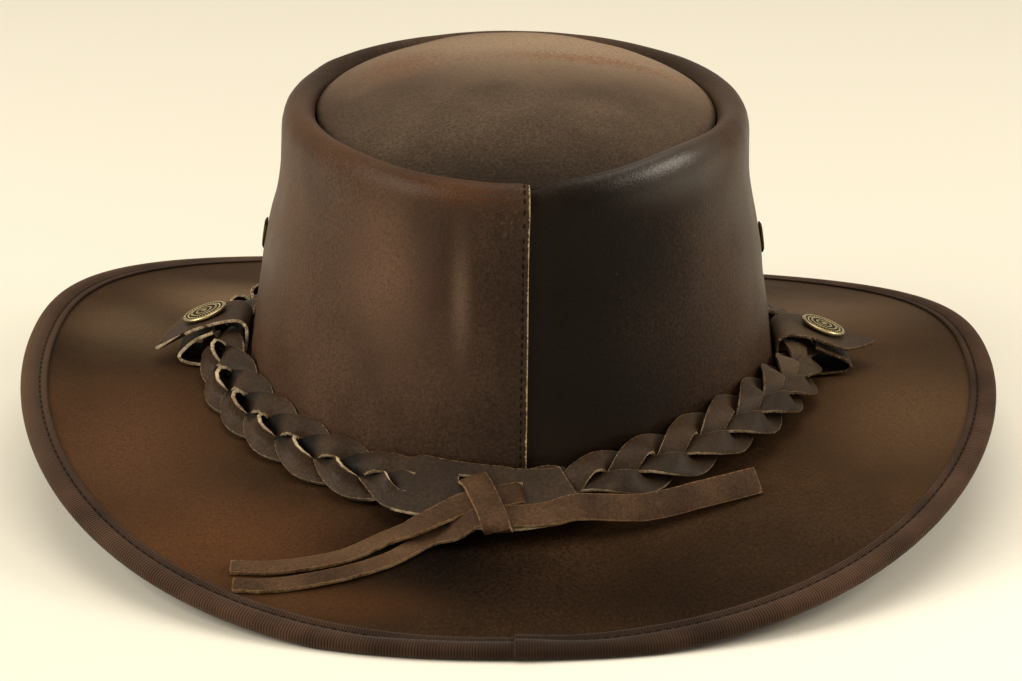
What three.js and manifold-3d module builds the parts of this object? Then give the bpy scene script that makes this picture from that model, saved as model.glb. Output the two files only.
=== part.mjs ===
// Leather cowboy hat with a braided band, two snap keepers and a lace tied at the back.
// Millimetres. +X is the wearer's right, +Y the front and +Z up. The hat rests on z = 0.
import * as THREE from "three";
import { mergeVertices } from "three/addons/utils/BufferGeometryUtils.js";
import Module from "manifold-3d";

const wasm = await Module();
wasm.setup();

// Walls and clearances
const GAP = 0.3;
const CROWN_WALL = 2.0;
const BRIM_WALL = 2.0;
const TIP_WALL = 2.0;
const RIBBON_WALL = 0.9;

// Crown: half sizes of the outer face at the foot and below the rim, and heights above the foot
const HEAD_SIDE = 87.5;
const HEAD_END = 104;
const FOOT_ARCH = 6.5;
const CROWN_HEIGHT = 98.5;
const CROWN_SIDE = 75.8;
const CROWN_END = 96.2;
const RIM_RADIUS = 5.5;
const RIM_DEPTH = 9;
const CROWN_SHIFT = 0.7;
const RIM_BACK_DIP = 3.5;
const RIM_SWELL = 3.2;
const RIM_SWELL_AT = -48;
const RIM_SWELL_SPREAD = 26;

// Crown tip: the sunk oval with a high middle
const TIP_SINK = 4;
const TIP_RISE = 14;
const TIP_TILT = 3.3;

// Back seam: the left end of the crown band laps over the right end
const SEAM_OFFSET = 3.8;
const SEAM_LAP = 12;
const SEAM_EASE = 14;

// Brim: outermost half sizes over the ribbon, and edge heights from the foot of the crown
const BRIM_SIDE = 159.5;
const BRIM_END = 181.5;
const BRIM_AHEAD = 3.6;
const BRIM_SQUARENESS = 2.24;
const BRIM_SKEW = 0.011;
const BRIM_END_DROP = 17.8;
const BRIM_SIDE_LIFT = 7.7;
const BRIM_SHOULDER = 1.4;
const BRIM_LEAN = -2.0;
const BRIM_TWIST = -2.2;
const BRIM_CURL = 1.2;
const REST_SINK = 2.0;
const COLLAR_HEIGHT = 12;
const RIBBON_WIDTH = 9.6;
const REST_WIDTH = 4.5;

// Vent eyelets, one on each side of the crown
const EYELET_UP = 45;
const EYELET_FLANGE = 5.2;
const EYELET_BORE = 1.7;
const EYELET_BARREL = 0.5;
const EYELET_PROUD = 0.8;

// Braided band: one strap cut into three strips between its two uncut ends
const STRIP_WIDTH = 6.7;
const STRIP_WALL = 1.7;
const STRAP_WALL = 2.0;
const STRIP_PITCH = 7.0;
const BRAID_CYCLE = 60;
const BRAID_SWING = 6.2;
const BRAID_LIFT = 2.7;
const BRAID_ROLL = 0.28;
const BRAID_SHARPNESS = -0.05;
const BRAID_BLEND = 10;
const STRAND_OVERLAP = 2;
const BRAID_START = -84;
const BRAID_END = 248.5;
const UNDER_STRAP_LENGTH = 26;
const OVER_STRAP_LENGTH = 54;
const OVER_STRAP_SLANT = -7;
const STRAP_STEP = 1.35;
const STRAP_ROOM = 1.9;

// Keepers: a strip of leather rolled round the braid and closed by a snap stud
const KEEPER_WIDTH = 20;
const KEEPER_WALL = 1.7;
const KEEPER_REACH = 35;
const KEEPER_SQUEEZE = 0.33;
const STUD_RADIUS = 7.5;
const STUD_HEIGHT = 2.9;
const STUD_POST = 1.5;
const STUD_LENGTH = 2.7;

// Lace tied through the two ends of the strap
const LACE_WIDTH = 8.2;
const LACE_WALL = 2.0;
const STRAP_SAG = 4;
const STRAP_SAG_LENGTH = 24;

// How finely the solids are divided
const COLUMNS = 38;
const BRIM_COLUMNS = 56;
const TIP_COLUMNS = 36;
const STEPS_PER_CYCLE = 9;
const STRAP_STEPS = 6;
const LACE_STEPS = 2;
const KEEPER_STEPS = 2;
const ROUND_SIDES = 12;

const LEATHER = { roughness: 0.62, metalness: 0 };
const BRASS = { color: 0x7c6a3c, roughness: 0.42, metalness: 1 };

// How the crown wall draws in from the foot (0) to below the rim (1), up shares of its height
const CROWN_SECTIONS = [
  { up: 0, taper: 0 },
  { up: 0.21, taper: 0.21 },
  { up: 0.44, taper: 0.5 },
  { up: 0.54, taper: 0.6 },
  { up: 0.62, taper: 0.78 },
  { up: 0.71, taper: 0.93 },
  { up: 0.83, taper: 0.99 },
];

// Directions on the rolled rim, from its outer side over the crest
const RIM_DIRECTIONS = [0, 40, 75, 115];

// Places across the brim inside its ribbon, as shares from the foot of the crown to the edge
const BRIM_SECTIONS = [0.62, 0.4, 0.2];

// How far the band leans over the brim, from level, and rides up the crown, at places round it
const BAND_LINE = [
  { at: -90, lean: 26, ride: 0 },
  { at: -68, lean: 32, ride: 4 },
  { at: -48, lean: 36, ride: 5 },
  { at: -28, lean: 34, ride: 3.5 },
  { at: -10, lean: 27, ride: 0 },
  { at: 10, lean: 27, ride: 0 },
  { at: 50, lean: 32, ride: 0 },
  { at: 130, lean: 32, ride: 0 },
  { at: 170, lean: 27, ride: 0 },
  { at: 190, lean: 27, ride: 0 },
  { at: 225, lean: 28, ride: 0 },
  { at: 270, lean: 26, ride: 0 },
];

// A keeper's middle line, from its pointed outer end over the braid and back under itself:
// out as a share of its reach, up as a share of its height, wide as a share of its width
const KEEPER_LINE = [
  { out: 1.0, up: 0.51, wide: 0.3 },
  { out: 0.86, up: 0.62, wide: 1 },
  { out: 0.68, up: 0.76, wide: 1 },
  { out: 0.5, up: 0.88, wide: 1 },
  { out: 0.32, up: 0.96, wide: 1 },
  { out: 0.15, up: 0.98, wide: 1 },
  { out: 0.06, up: 0.87, wide: 1 },
  { out: 0.035, up: 0.66, wide: 1 },
  { out: 0.035, up: 0.4, wide: 1 },
  { out: 0.055, up: 0.2, wide: 1 },
  { out: 0.13, up: 0.12, wide: 1 },
  { out: 0.4, up: 0.12, wide: 1 },
  { out: 0.66, up: 0.13, wide: 1 },
  { out: 0.75, up: 0.27, wide: 1 },
  { out: 0.71, up: 0.45, wide: 1 },
  { out: 0.58, up: 0.61, wide: 1 },
  { out: 0.4, up: 0.765, wide: 1 },
];
const STUD_ROW = 3;

// Lace tails over the brim: at in degrees round the crown, share of the brim's width,
// lift above the brim in walls of the lace, lean of the strip across its run in degrees
const UPPER_TAIL = [
  { at: -124, share: 0.778, lift: 0, lean: 0 },
  { at: -118.4, share: 0.657, lift: 0, lean: 0 },
  { at: -113.3, share: 0.547, lift: 0.1, lean: 0 },
  { at: -110.1, share: 0.432, lift: 0.7, lean: 4 },
];
const LOWER_TAIL = [
  { at: -121.7, share: 0.822, lift: 0.3, lean: 0 },
  { at: -116.6, share: 0.757, lift: 0, lean: 0 },
  { at: -111.8, share: 0.651, lift: 0, lean: 0 },
  { at: -108.1, share: 0.525, lift: 0, lean: 0 },
  { at: -104.2, share: 0.4, lift: 0.4, lean: 6 },
];
const RIGHT_TAIL = [
  { at: -69, share: 0.3, lift: 2.65, lean: 42 },
  { at: -58.5, share: 0.3, lift: 2.1, lean: 46 },
  { at: -48.6, share: 0.33, lift: 1.2, lean: 48 },
];

// The lace on the strap: along from the braid's end and across from the strap's middle, in
// lace widths, off the strap's face in walls of the lace
const BRIDGE = [
  { along: 1.6, across: -2.2, off: 0.2, lean: 0 },
  { along: 2.28, across: -1.42, off: 0.2, lean: 0 },
  { along: 2.95, across: -0.75, off: 0, lean: 0 },
  { along: 3.65, across: -0.45, off: 0, lean: 0 },
  { along: 4.4, across: -0.22, off: 0, lean: 0 },
  { along: 4.88, across: -0.12, off: 0, lean: 0 },
];
const UNDER_WRAP = [
  { along: 2.75, across: -2.0, off: -0.8, lean: 0 },
  { along: 3.3, across: -1.5, off: 0.05, lean: 0 },
  { along: 3.9, across: -1.32, off: 0.4, lean: 0 },
  { along: 4.7, across: -1.3, off: 0.2, lean: 0 },
  { along: 5.6, across: -1.36, off: 0.2, lean: 4 },
  { along: 6.6, across: -1.4, off: 0.75, lean: 14 },
];
const WRAP = [
  { along: 3.0, across: 0.52, off: 0, lean: 0 },
  { along: 3.25, across: 0.1, off: 0.45, lean: 0 },
  { along: 3.5, across: -0.45, off: 0.85, lean: 0 },
  { along: 3.75, across: -1.1, off: 1.3, lean: 0 },
  { along: 3.98, across: -1.7, off: 0.9, lean: 25 },
  { along: 4.08, across: -1.93, off: -0.1, lean: 95 },
  { along: 4.12, across: -1.66, off: -0.95, lean: 175 },
];

const rad = THREE.MathUtils.degToRad;
const lerp = THREE.MathUtils.lerp;
const smooth = THREE.MathUtils.smoothstep;
const UP = new THREE.Vector3(0, 0, 1);

// Heights that follow from the driving dimensions
const BRIM_STACK = RIBBON_WALL + GAP + BRIM_WALL;
const FOOT_Z = BRIM_STACK + BRIM_END_DROP - REST_SINK;

// Row of a table at a place between two entries, by the entries' key
function between(table, key, place, value) {
  const last = table.length - 1;
  let row = 0;
  while (row < last - 1 && table[row + 1][key] < place) row += 1;
  const low = table[row];
  const high = table[row + 1];
  const share = THREE.MathUtils.clamp((place - low[key]) / (high[key] - low[key]), 0, 1);
  return lerp(low[value], high[value], share);
}

// Point and outward normal of an oval with the given half sizes
function oval(turn, side, end) {
  const point = new THREE.Vector3(side * Math.cos(turn), end * Math.sin(turn), 0);
  const normal = new THREE.Vector3(Math.cos(turn) / side, Math.sin(turn) / end, 0).normalize();
  return { point, normal };
}

// Closed shell between two grids of points, [station][row], round a ring or between two ends
function shell(outer, inner, ring) {
  const stations = outer.length;
  const rows = outer[0].length;
  const positions = [...outer.flat(), ...inner.flat()].flatMap((point) => point.toArray());
  const indices = [];
  const at = (side, j, i) => (side * stations + (j % stations)) * rows + i;
  const corner = (n) => new THREE.Vector3().fromArray(positions, 3 * n);
  const quad = (a, b, c, d) => {
    const along = corner(a).distanceTo(corner(c)) <= corner(b).distanceTo(corner(d));
    indices.push(...(along ? [a, b, c, a, c, d] : [a, b, d, b, c, d]));
  };
  const spans = ring ? stations : stations - 1;
  for (let j = 0; j < spans; j += 1) {
    for (let i = 0; i < rows - 1; i += 1) {
      quad(at(0, j, i), at(0, j + 1, i), at(0, j + 1, i + 1), at(0, j, i + 1));
      quad(at(1, j, i), at(1, j, i + 1), at(1, j + 1, i + 1), at(1, j + 1, i));
    }
    quad(at(0, j, 0), at(1, j, 0), at(1, j + 1, 0), at(0, j + 1, 0));
    quad(at(0, j, rows - 1), at(0, j + 1, rows - 1), at(1, j + 1, rows - 1), at(1, j, rows - 1));
  }
  const end = stations - 1;
  for (let i = 0; !ring && i < rows - 1; i += 1) {
    quad(at(0, 0, i), at(0, 0, i + 1), at(1, 0, i + 1), at(1, 0, i));
    quad(at(0, end, i), at(1, end, i), at(1, end, i + 1), at(0, end, i + 1));
  }
  const geometry = new THREE.BufferGeometry();
  geometry.setAttribute("position", new THREE.Float32BufferAttribute(positions, 3));
  geometry.setIndex(indices);
  return geometry;
}

// Unit normals of a grid, with the mitre that keeps an offset wall's thickness at a bend
function gridNormals(grid, ring) {
  const stations = grid.length;
  return grid.map((station, j) => station.map((point, i) => {
    const before = ring ? grid[(j + stations - 1) % stations] : grid[Math.max(j - 1, 0)];
    const after = ring ? grid[(j + 1) % stations] : grid[Math.min(j + 1, stations - 1)];
    const along = after[i].clone().sub(before[i]);
    const sides = [];
    if (i > 0) sides.push(along.clone().cross(point.clone().sub(station[i - 1])).normalize());
    if (i < station.length - 1) {
      sides.push(along.clone().cross(station[i + 1].clone().sub(point)).normalize());
    }
    const normal = sides.reduce((sum, side) => sum.add(side), new THREE.Vector3()).normalize();
    return normal.multiplyScalar(1 / Math.max(normal.dot(sides[0]), 0.5));
  }));
}

// Grid moved against its normals by a depth that may change from station to station
function sunk(grid, normals, depthAt) {
  return grid.map((station, j) => station.map((point, i) => (
    point.clone().addScaledVector(normals[j][i], -depthAt(j)))));
}

// Strip of leather swept through frames of centre, across, normal, width and wall
function strip(frames) {
  const corner = (frame, side, face) => frame.centre.clone()
    .addScaledVector(frame.across, (side * frame.width) / 2)
    .addScaledVector(frame.normal, (face * frame.wall) / 2);
  const face = (sign) => frames.map((frame) => [corner(frame, -1, sign), corner(frame, 1, sign)]);
  return shell(face(1), face(-1), false);
}

// Manifold solid of a closed geometry
function solidOf(geometry) {
  const bare = geometry.clone();
  bare.deleteAttribute("normal");
  bare.deleteAttribute("uv");
  const merged = mergeVertices(bare, 1e-4);
  return new wasm.Manifold(new wasm.Mesh({
    numProp: 3,
    vertProperties: merged.attributes.position.array,
    triVerts: Uint32Array.from(merged.index.array),
  }));
}

// Geometry of a manifold solid
function geometryOf(solid) {
  const mesh = solid.getMesh();
  const geometry = new THREE.BufferGeometry();
  geometry.setAttribute("position", new THREE.Float32BufferAttribute(mesh.vertProperties, 3));
  geometry.setIndex(Array.from(mesh.triVerts));
  return geometry;
}

function named(name, geometry, finish) {
  geometry.computeVertexNormals();
  const mesh = new THREE.Mesh(geometry, new THREE.MeshStandardMaterial(finish));
  mesh.name = name;
  return mesh;
}

// Height of the crown's foot above its front and back, which arches over the sides
function footArch(turn) {
  return FOOT_ARCH * Math.cos(turn) ** 2;
}

// Height of the rim's crest above the foot: lower at the back, with one swell behind the right side
function crestHeight(turn) {
  const back = Math.max(0, -Math.sin(turn)) ** 3;
  const away = Math.atan2(Math.sin(turn - rad(RIM_SWELL_AT)), Math.cos(turn - rad(RIM_SWELL_AT)));
  const swell = RIM_SWELL * Math.exp(-((away / rad(RIM_SWELL_SPREAD)) ** 2));
  return CROWN_HEIGHT - RIM_BACK_DIP * back + swell;
}

// How far the crown wall has drawn in at a height above the foot of the same turn
function crownTaper(turn, height) {
  const share = height / (crestHeight(turn) - footArch(turn));
  return between(CROWN_SECTIONS, "up", share, "taper") * (HEAD_SIDE - CROWN_SIDE);
}

function tipTop(turn, share) {
  const edge = CROWN_HEIGHT - TIP_SINK + TIP_TILT * Math.sin(turn) * share ** 2;
  return FOOT_Z + GAP + edge + TIP_RISE * (1 - share ** 3);
}

function crownStation(turn) {
  const crest = crestHeight(turn);
  const base = FOOT_Z + GAP;
  const wall = CROWN_SECTIONS.map(({ up, taper }) => {
    const side = lerp(HEAD_SIDE, CROWN_SIDE, taper);
    const end = lerp(HEAD_END, CROWN_END, taper);
    const { point } = oval(turn, side, end);
    point.x += CROWN_SHIFT * up;
    return point.setZ(base + footArch(turn) * (1 - up) + crest * up);
  });
  const middle = oval(turn, CROWN_SIDE - RIM_RADIUS, CROWN_END - RIM_RADIUS);
  middle.point.x += CROWN_SHIFT;
  const rim = RIM_DIRECTIONS.map((degrees) => middle.point.clone()
    .addScaledVector(middle.normal, RIM_RADIUS * Math.cos(rad(degrees)))
    .setZ(base + crest + RIM_DEPTH * (Math.sin(rad(degrees)) - 1)));
  const lip = middle.point.clone().addScaledVector(middle.normal, -RIM_RADIUS);
  lip.setZ(tipTop(turn, 1) - TIP_WALL - GAP);
  return [...wall, ...rim, lip];
}

// Turns of the crown band's stations, close together at the lap, and how deep each one is sunk
function crownTurns() {
  const edge = rad(-90) + SEAM_OFFSET / HEAD_SIDE;
  const start = edge - SEAM_LAP / HEAD_SIDE;
  const eased = edge + SEAM_EASE / HEAD_SIDE;
  const finish = edge + 2 * Math.PI;
  const turns = [start, (start + edge) / 2, edge];
  turns.push(lerp(edge, eased, 0.35), lerp(edge, eased, 0.7), eased);
  const lapAgain = start + 2 * Math.PI;
  for (let j = 1; j < COLUMNS; j += 1) turns.push(lerp(eased, lapAgain, j / COLUMNS));
  turns.push(lapAgain, (lapAgain + finish) / 2, finish);
  const depth = CROWN_WALL + GAP;
  return turns.map((turn) => ({ turn, sink: depth * (1 - smooth(turn, edge, eased)) }));
}

function crownSide() {
  const stations = crownTurns();
  const grid = stations.map(({ turn }) => crownStation(turn));
  const normals = gridNormals(grid, false);
  const outer = sunk(grid, normals, (j) => stations[j].sink);
  const inner = sunk(grid, normals, (j) => stations[j].sink + CROWN_WALL);
  for (const face of [outer, inner]) face.forEach((station, j) => station[0].setZ(grid[j][0].z));
  return shell(outer, inner, false);
}

// Centre and axis of the vent hole on one side, +1 for the right
function ventSeat(side) {
  const turn = side > 0 ? 0 : Math.PI;
  const taper = crownTaper(turn, EYELET_UP);
  const rise = 3;
  const slope = (crownTaper(turn, EYELET_UP + rise) - crownTaper(turn, EYELET_UP - rise)) / (2 * rise);
  const height = FOOT_Z + GAP + FOOT_ARCH + EYELET_UP;
  const shift = CROWN_SHIFT * (EYELET_UP / (crestHeight(turn) - FOOT_ARCH));
  const point = new THREE.Vector3(side * (HEAD_SIDE - taper) + shift, 0, height);
  const axis = new THREE.Vector3(side, 0, slope).normalize();
  return { point, axis };
}

function turnedTo(geometry, { point, axis }) {
  const turn = new THREE.Quaternion().setFromUnitVectors(new THREE.Vector3(0, 1, 0), axis);
  geometry.applyQuaternion(turn);
  return geometry.translate(point.x, point.y, point.z);
}

function drilled(geometry, seats, radius, length) {
  return geometryOf(seats.reduce((solid, seat) => (
    solid.subtract(solidOf(turnedTo(new THREE.CylinderGeometry(radius, radius, length, ROUND_SIDES), seat)))
  ), solidOf(geometry)));
}

function eyelet(side) {
  const barrel = EYELET_BORE + EYELET_BARREL;
  const inside = -CROWN_WALL - 2 * GAP;
  const profile = [
    [EYELET_BORE, inside - EYELET_BARREL],
    [EYELET_FLANGE * 0.8, inside - EYELET_BARREL],
    [EYELET_FLANGE * 0.8, inside],
    [barrel, inside],
    [barrel, GAP],
    [EYELET_FLANGE, GAP],
    [EYELET_FLANGE * 0.8, GAP + EYELET_PROUD],
    [EYELET_BORE, GAP + EYELET_PROUD],
    [EYELET_BORE, inside - EYELET_BARREL],
  ].map(([radius, height]) => new THREE.Vector2(radius, height));
  return turnedTo(new THREE.LatheGeometry(profile, ROUND_SIDES), ventSeat(side));
}

function crownTip() {
  const side = CROWN_SIDE - RIM_RADIUS;
  const end = CROWN_END - RIM_RADIUS;
  const shares = [1, 0.87, 0.64, 0.34, 0];
  const grid = Array.from({ length: TIP_COLUMNS }, (_, j) => {
    const turn = (j / TIP_COLUMNS) * 2 * Math.PI;
    const { point, normal } = oval(turn, side, end);
    point.addScaledVector(normal, -(RIM_RADIUS + GAP));
    return shares.map((share) => {
      const place = point.clone().multiplyScalar(share).setZ(tipTop(turn, share));
      return place.setX(place.x + CROWN_SHIFT);
    });
  });
  const under = grid.map((station) => station.map((point) => (
    point.clone().addScaledVector(UP, -TIP_WALL))));
  return geometryOf(solidOf(shell(grid, under, true)));
}

// Edge of the brim leather in plan
function brimEdge(turn) {
  const cover = RIBBON_WALL + GAP;
  const across = Math.abs(Math.cos(turn)) ** BRIM_SQUARENESS;
  const along = Math.abs(Math.sin(turn)) ** BRIM_SQUARENESS;
  const reach = (across + along) ** (-1 / BRIM_SQUARENESS) * (1 + BRIM_SKEW * Math.sin(2 * turn));
  const x = (BRIM_SIDE - cover) * reach * Math.cos(turn);
  const y = (BRIM_END - cover) * reach * Math.sin(turn) + BRIM_AHEAD;
  return new THREE.Vector3(x, y, 0);
}

// Top face of the brim at a turn, from the foot of the crown (0) to the brim's edge (1)
function brimTop(turn, share) {
  const edge = brimEdge(turn);
  const point = oval(turn, HEAD_SIDE, HEAD_END).point.lerp(edge, share);
  const level = (BRIM_SIDE_LIFT - BRIM_END_DROP) / 2 - BRIM_SHOULDER;
  const saddle = ((BRIM_SIDE_LIFT + BRIM_END_DROP) / 2) * Math.cos(2 * turn);
  const shoulder = BRIM_SHOULDER * Math.cos(4 * turn);
  const askew = BRIM_LEAN * Math.cos(turn) + BRIM_TWIST * Math.sin(2 * turn);
  const fall = (level + saddle + shoulder + askew) * Math.max(share, 0) ** BRIM_CURL;
  return point.setZ(Math.max(FOOT_Z + footArch(turn) + fall, BRIM_STACK));
}

// Share of the brim's width that a distance from its edge makes
function shareFromEdge(turn, distance) {
  const width = brimEdge(turn).distanceTo(oval(turn, HEAD_SIDE, HEAD_END).point);
  return 1 - distance / width;
}

function brimTurns() {
  return Array.from({ length: BRIM_COLUMNS }, (_, j) => ((j + 0.5) / BRIM_COLUMNS) * 2 * Math.PI);
}

// How far the collar stands in to leave room for the crown's lapped seam
function collarRoom(turn) {
  const middle = rad(-90) + (SEAM_OFFSET - SEAM_LAP / 2) / HEAD_SIDE;
  const away = Math.abs(Math.atan2(Math.sin(turn - middle), Math.cos(turn - middle)));
  const full = (SEAM_LAP / 2 + SEAM_EASE) / HEAD_SIDE;
  return (CROWN_WALL + GAP) * (1 - smooth(away, full, full + (2 * SEAM_EASE) / HEAD_SIDE));
}

function brim() {
  const stations = brimTurns().map((turn) => {
    const inset = CROWN_WALL + GAP + collarRoom(turn);
    const covered = [0, REST_WIDTH, RIBBON_WIDTH].map((distance) => shareFromEdge(turn, distance));
    const top = [...covered, ...BRIM_SECTIONS].map((share) => brimTop(turn, share));
    const under = top.map((point) => point.clone().addScaledVector(UP, -BRIM_WALL));
    const foot = oval(turn, HEAD_SIDE, HEAD_END);
    const footZ = FOOT_Z + footArch(turn);
    const collarZ = footZ + COLLAR_HEIGHT;
    const drawnIn = crownTaper(turn, COLLAR_HEIGHT);
    const inward = (distance, z) => foot.point.clone()
      .addScaledVector(foot.normal, -distance).setZ(z);
    top.push(inward(inset, footZ), inward(inset + drawnIn, collarZ));
    under.push(inward(inset + BRIM_WALL, footZ - BRIM_WALL));
    under.push(inward(inset + BRIM_WALL + drawnIn, collarZ));
    return { top, under };
  });
  return shell(stations.map(({ top }) => top), stations.map(({ under }) => under), true);
}

// Ribbon folded over the brim's edge, with a flat strip under its lowest stretch
function brimBinding() {
  const stations = brimTurns().map((turn) => {
    const inmost = brimTop(turn, shareFromEdge(turn, RIBBON_WIDTH));
    const resting = brimTop(turn, shareFromEdge(turn, REST_WIDTH));
    const edge = brimTop(turn, 1);
    const away = edge.clone().sub(inmost).setZ(0).normalize();
    const face = (point, up, out) => point.clone().addScaledVector(UP, up).addScaledVector(away, out);
    const near = BRIM_WALL + GAP;
    const far = near + RIBBON_WALL;
    const side = GAP + RIBBON_WALL;
    const middle = -BRIM_WALL / 2;
    return {
      outer: [face(inmost, -far, 0), face(resting, -far, 0), face(edge, -far, GAP),
        face(edge, middle, side), face(edge, side, GAP), face(inmost, side, 0)],
      inner: [face(inmost, -near, 0), face(resting, -near, 0), face(edge, -near, 0),
        face(edge, middle, GAP), face(edge, GAP, 0), face(inmost, GAP, 0)],
    };
  });
  return shell(stations.map(({ outer }) => outer), stations.map(({ inner }) => inner), true);
}

// Strand of the braid at a phase: place across and above the band, their slopes and the roll
function strandShape(phase) {
  const rate = (2 * Math.PI) / BRAID_CYCLE;
  return {
    across: BRAID_SWING * Math.sin(phase),
    above: BRAID_LIFT * (Math.sin(2 * phase) + BRAID_SHARPNESS * Math.sin(4 * phase)),
    drift: BRAID_SWING * rate * Math.cos(phase),
    climb: BRAID_LIFT * rate * (2 * Math.cos(2 * phase) + 4 * BRAID_SHARPNESS * Math.cos(4 * phase)),
    roll: BRAID_ROLL * Math.cos(3 * phase),
  };
}

// Nearness of a turn to the keeper on its side of the hat, 1 within the keeper's width
function nearKeeper(turn) {
  const side = Math.asin(Math.abs(Math.sin(turn)));
  const keeper = KEEPER_WIDTH / 2 / HEAD_SIDE;
  return 1 - smooth(side, keeper + 0.03, keeper + 0.26);
}

// The keeper draws the braid narrower
function squeeze(turn) {
  return 1 - KEEPER_SQUEEZE * nearKeeper(turn);
}

// Corners of the braid's strips in the plane across the band, out and up from its middle line
function braidCorners(turn) {
  const lean = bandLean(turn);
  const corners = [];
  for (let phase = 0; phase < 2 * Math.PI; phase += Math.PI / 18) {
    const { across, above, drift, roll } = strandShape(phase);
    for (const [side, face] of [[-1, -1], [-1, 1], [1, -1], [1, 1]]) {
      const half = side * (STRIP_WIDTH / 2) * Math.hypot(1, drift);
      const a = across * squeeze(turn) + half * Math.cos(roll);
      const b = above + half * Math.sin(roll) + face * (STRIP_WALL / 2);
      const out = b * Math.sin(lean) - a * Math.cos(lean);
      corners.push({ out, up: b * Math.cos(lean) + a * Math.sin(lean) });
    }
  }
  return corners;
}

// The band stands farther off where a keeper passes round it and where its two ends overlap
function bandRoom(turn) {
  const back = Math.acos(THREE.MathUtils.clamp(-Math.sin(turn), -1, 1));
  const ends = UNDER_STRAP_LENGTH / HEAD_SIDE;
  const straps = STRAP_ROOM * (1 - smooth(back, ends, ends + 0.3));
  return 1.2 * GAP + Math.max((KEEPER_WALL + 2 * GAP) * nearKeeper(turn), straps);
}

function bandLine(turn, value) {
  const degrees = THREE.MathUtils.euclideanModulo(THREE.MathUtils.radToDeg(turn) + 90, 360) - 90;
  return between(BAND_LINE, "at", degrees, value);
}

function bandLean(turn) {
  return rad(bandLine(turn, "lean"));
}

// Height of the brim's top face above the crown's foot, at a distance out from it
function brimRise(turn, out) {
  const width = oval(turn, HEAD_SIDE, HEAD_END).point.distanceTo(brimEdge(turn));
  return brimTop(turn, out / width).z - FOOT_Z - footArch(turn);
}

// Seat of the band's middle line at a turn: out from the foot of the crown and up from its level
function bandSeat(turn) {
  const room = bandRoom(turn);
  const corners = braidCorners(turn);
  const reach = room + Math.max(...corners.map((corner) => -corner.out));
  const rests = corners.map((corner) => brimRise(turn, reach + corner.out) - corner.up);
  const up = room + Math.max(...rests) + bandLine(turn, "ride");
  const touch = up + (BRAID_SWING + STRIP_WIDTH / 2) * Math.sin(bandLean(turn));
  const top = up + Math.max(...corners.map((corner) => corner.up));
  return { out: reach - crownTaper(turn, touch), up, top };
}

function bandPoint(turn) {
  const { point, normal } = oval(turn, HEAD_SIDE, HEAD_END);
  const { out, up } = bandSeat(turn);
  return point.addScaledVector(normal, out).setZ(FOOT_Z + footArch(turn) + up);
}

// Middle line of the band, as turns against length from the start of the braid
function bandLengths() {
  const first = rad(BRAID_START - 40);
  const last = rad(BRAID_END + 60);
  const steps = 720;
  const rows = [{ length: 0, turn: first }];
  let before = bandPoint(first);
  for (let j = 1; j <= steps; j += 1) {
    const turn = lerp(first, last, j / steps);
    const point = bandPoint(turn);
    rows.push({ length: rows[j - 1].length + point.distanceTo(before), turn });
    before = point;
  }
  return rows;
}
const BAND_ROWS = bandLengths();
const BRAID_FROM = between(BAND_ROWS, "turn", rad(BRAID_START), "length");
const BRAID_TO = between(BAND_ROWS, "turn", rad(BRAID_END), "length");

// Frame of the band at a length: its middle, its run, across towards the crown, and its normal
function bandFrame(length) {
  const turn = between(BAND_ROWS, "length", length, "turn");
  const delta = 0.01;
  const run = bandPoint(turn + delta).sub(bandPoint(turn - delta)).normalize();
  const { normal: out } = oval(turn, HEAD_SIDE, HEAD_END);
  const lean = bandLean(turn);
  const face = out.multiplyScalar(Math.sin(lean)).addScaledVector(UP, Math.cos(lean));
  const across = face.clone().cross(run).normalize();
  return { centre: bandPoint(turn), run, across, normal: run.clone().cross(across) };
}

// How far a strand has left its slot in the uncut strap for its place in the braid
function braiding(length) {
  const start = smooth(length, BRAID_FROM, BRAID_FROM + BRAID_BLEND);
  const end = smooth(length, BRAID_TO - BRAID_BLEND, BRAID_TO);
  return start * (1 - end);
}

// Height of the uncut strap at either end of the braid: the last end lies over the first
function strapHeight(length) {
  const first = -STRAP_STEP * (1 - smooth(length, BRAID_FROM, BRAID_FROM + 2 * BRAID_BLEND));
  return first + STRAP_STEP * smooth(length, BRAID_TO - 2 * BRAID_BLEND, BRAID_TO);
}

// Slots of the three strips at both ends, so that none crosses another before the braid begins
const CYCLES = Math.round((BRAID_TO - BRAID_FROM - BRAID_BLEND) / BRAID_CYCLE);
const PHASE_RATE = (CYCLES * 2 * Math.PI) / (BRAID_TO - BRAID_FROM - BRAID_BLEND);
const STRANDS = [
  { name: "a", phase: 0, slot: 0 },
  { name: "b", phase: 120, slot: 1 },
  { name: "c", phase: 240, slot: -1 },
];

function strandFrame(length, strand) {
  const frame = bandFrame(length);
  const phase = rad(strand.phase) + PHASE_RATE * (length - BRAID_FROM - BRAID_BLEND / 2);
  const shape = strandShape(phase);
  const share = braiding(length);
  const turn = between(BAND_ROWS, "length", length, "turn");
  const across = lerp(strand.slot * STRIP_PITCH, shape.across * squeeze(turn), share);
  const above = share * shape.above + strapHeight(length);
  const centre = frame.centre.clone()
    .addScaledVector(frame.across, across).addScaledVector(frame.normal, above);
  const run = frame.run.clone().addScaledVector(frame.across, share * shape.drift * squeeze(turn))
    .addScaledVector(frame.normal, share * shape.climb).normalize();
  const level = frame.normal.clone().cross(run).normalize();
  const face = run.clone().cross(level);
  const roll = share * shape.roll;
  const tilted = level.multiplyScalar(Math.cos(roll)).addScaledVector(face, Math.sin(roll));
  const normal = run.clone().cross(tilted).normalize();
  return { centre, across: tilted, normal, width: STRIP_WIDTH, wall: STRIP_WALL };
}

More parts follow.
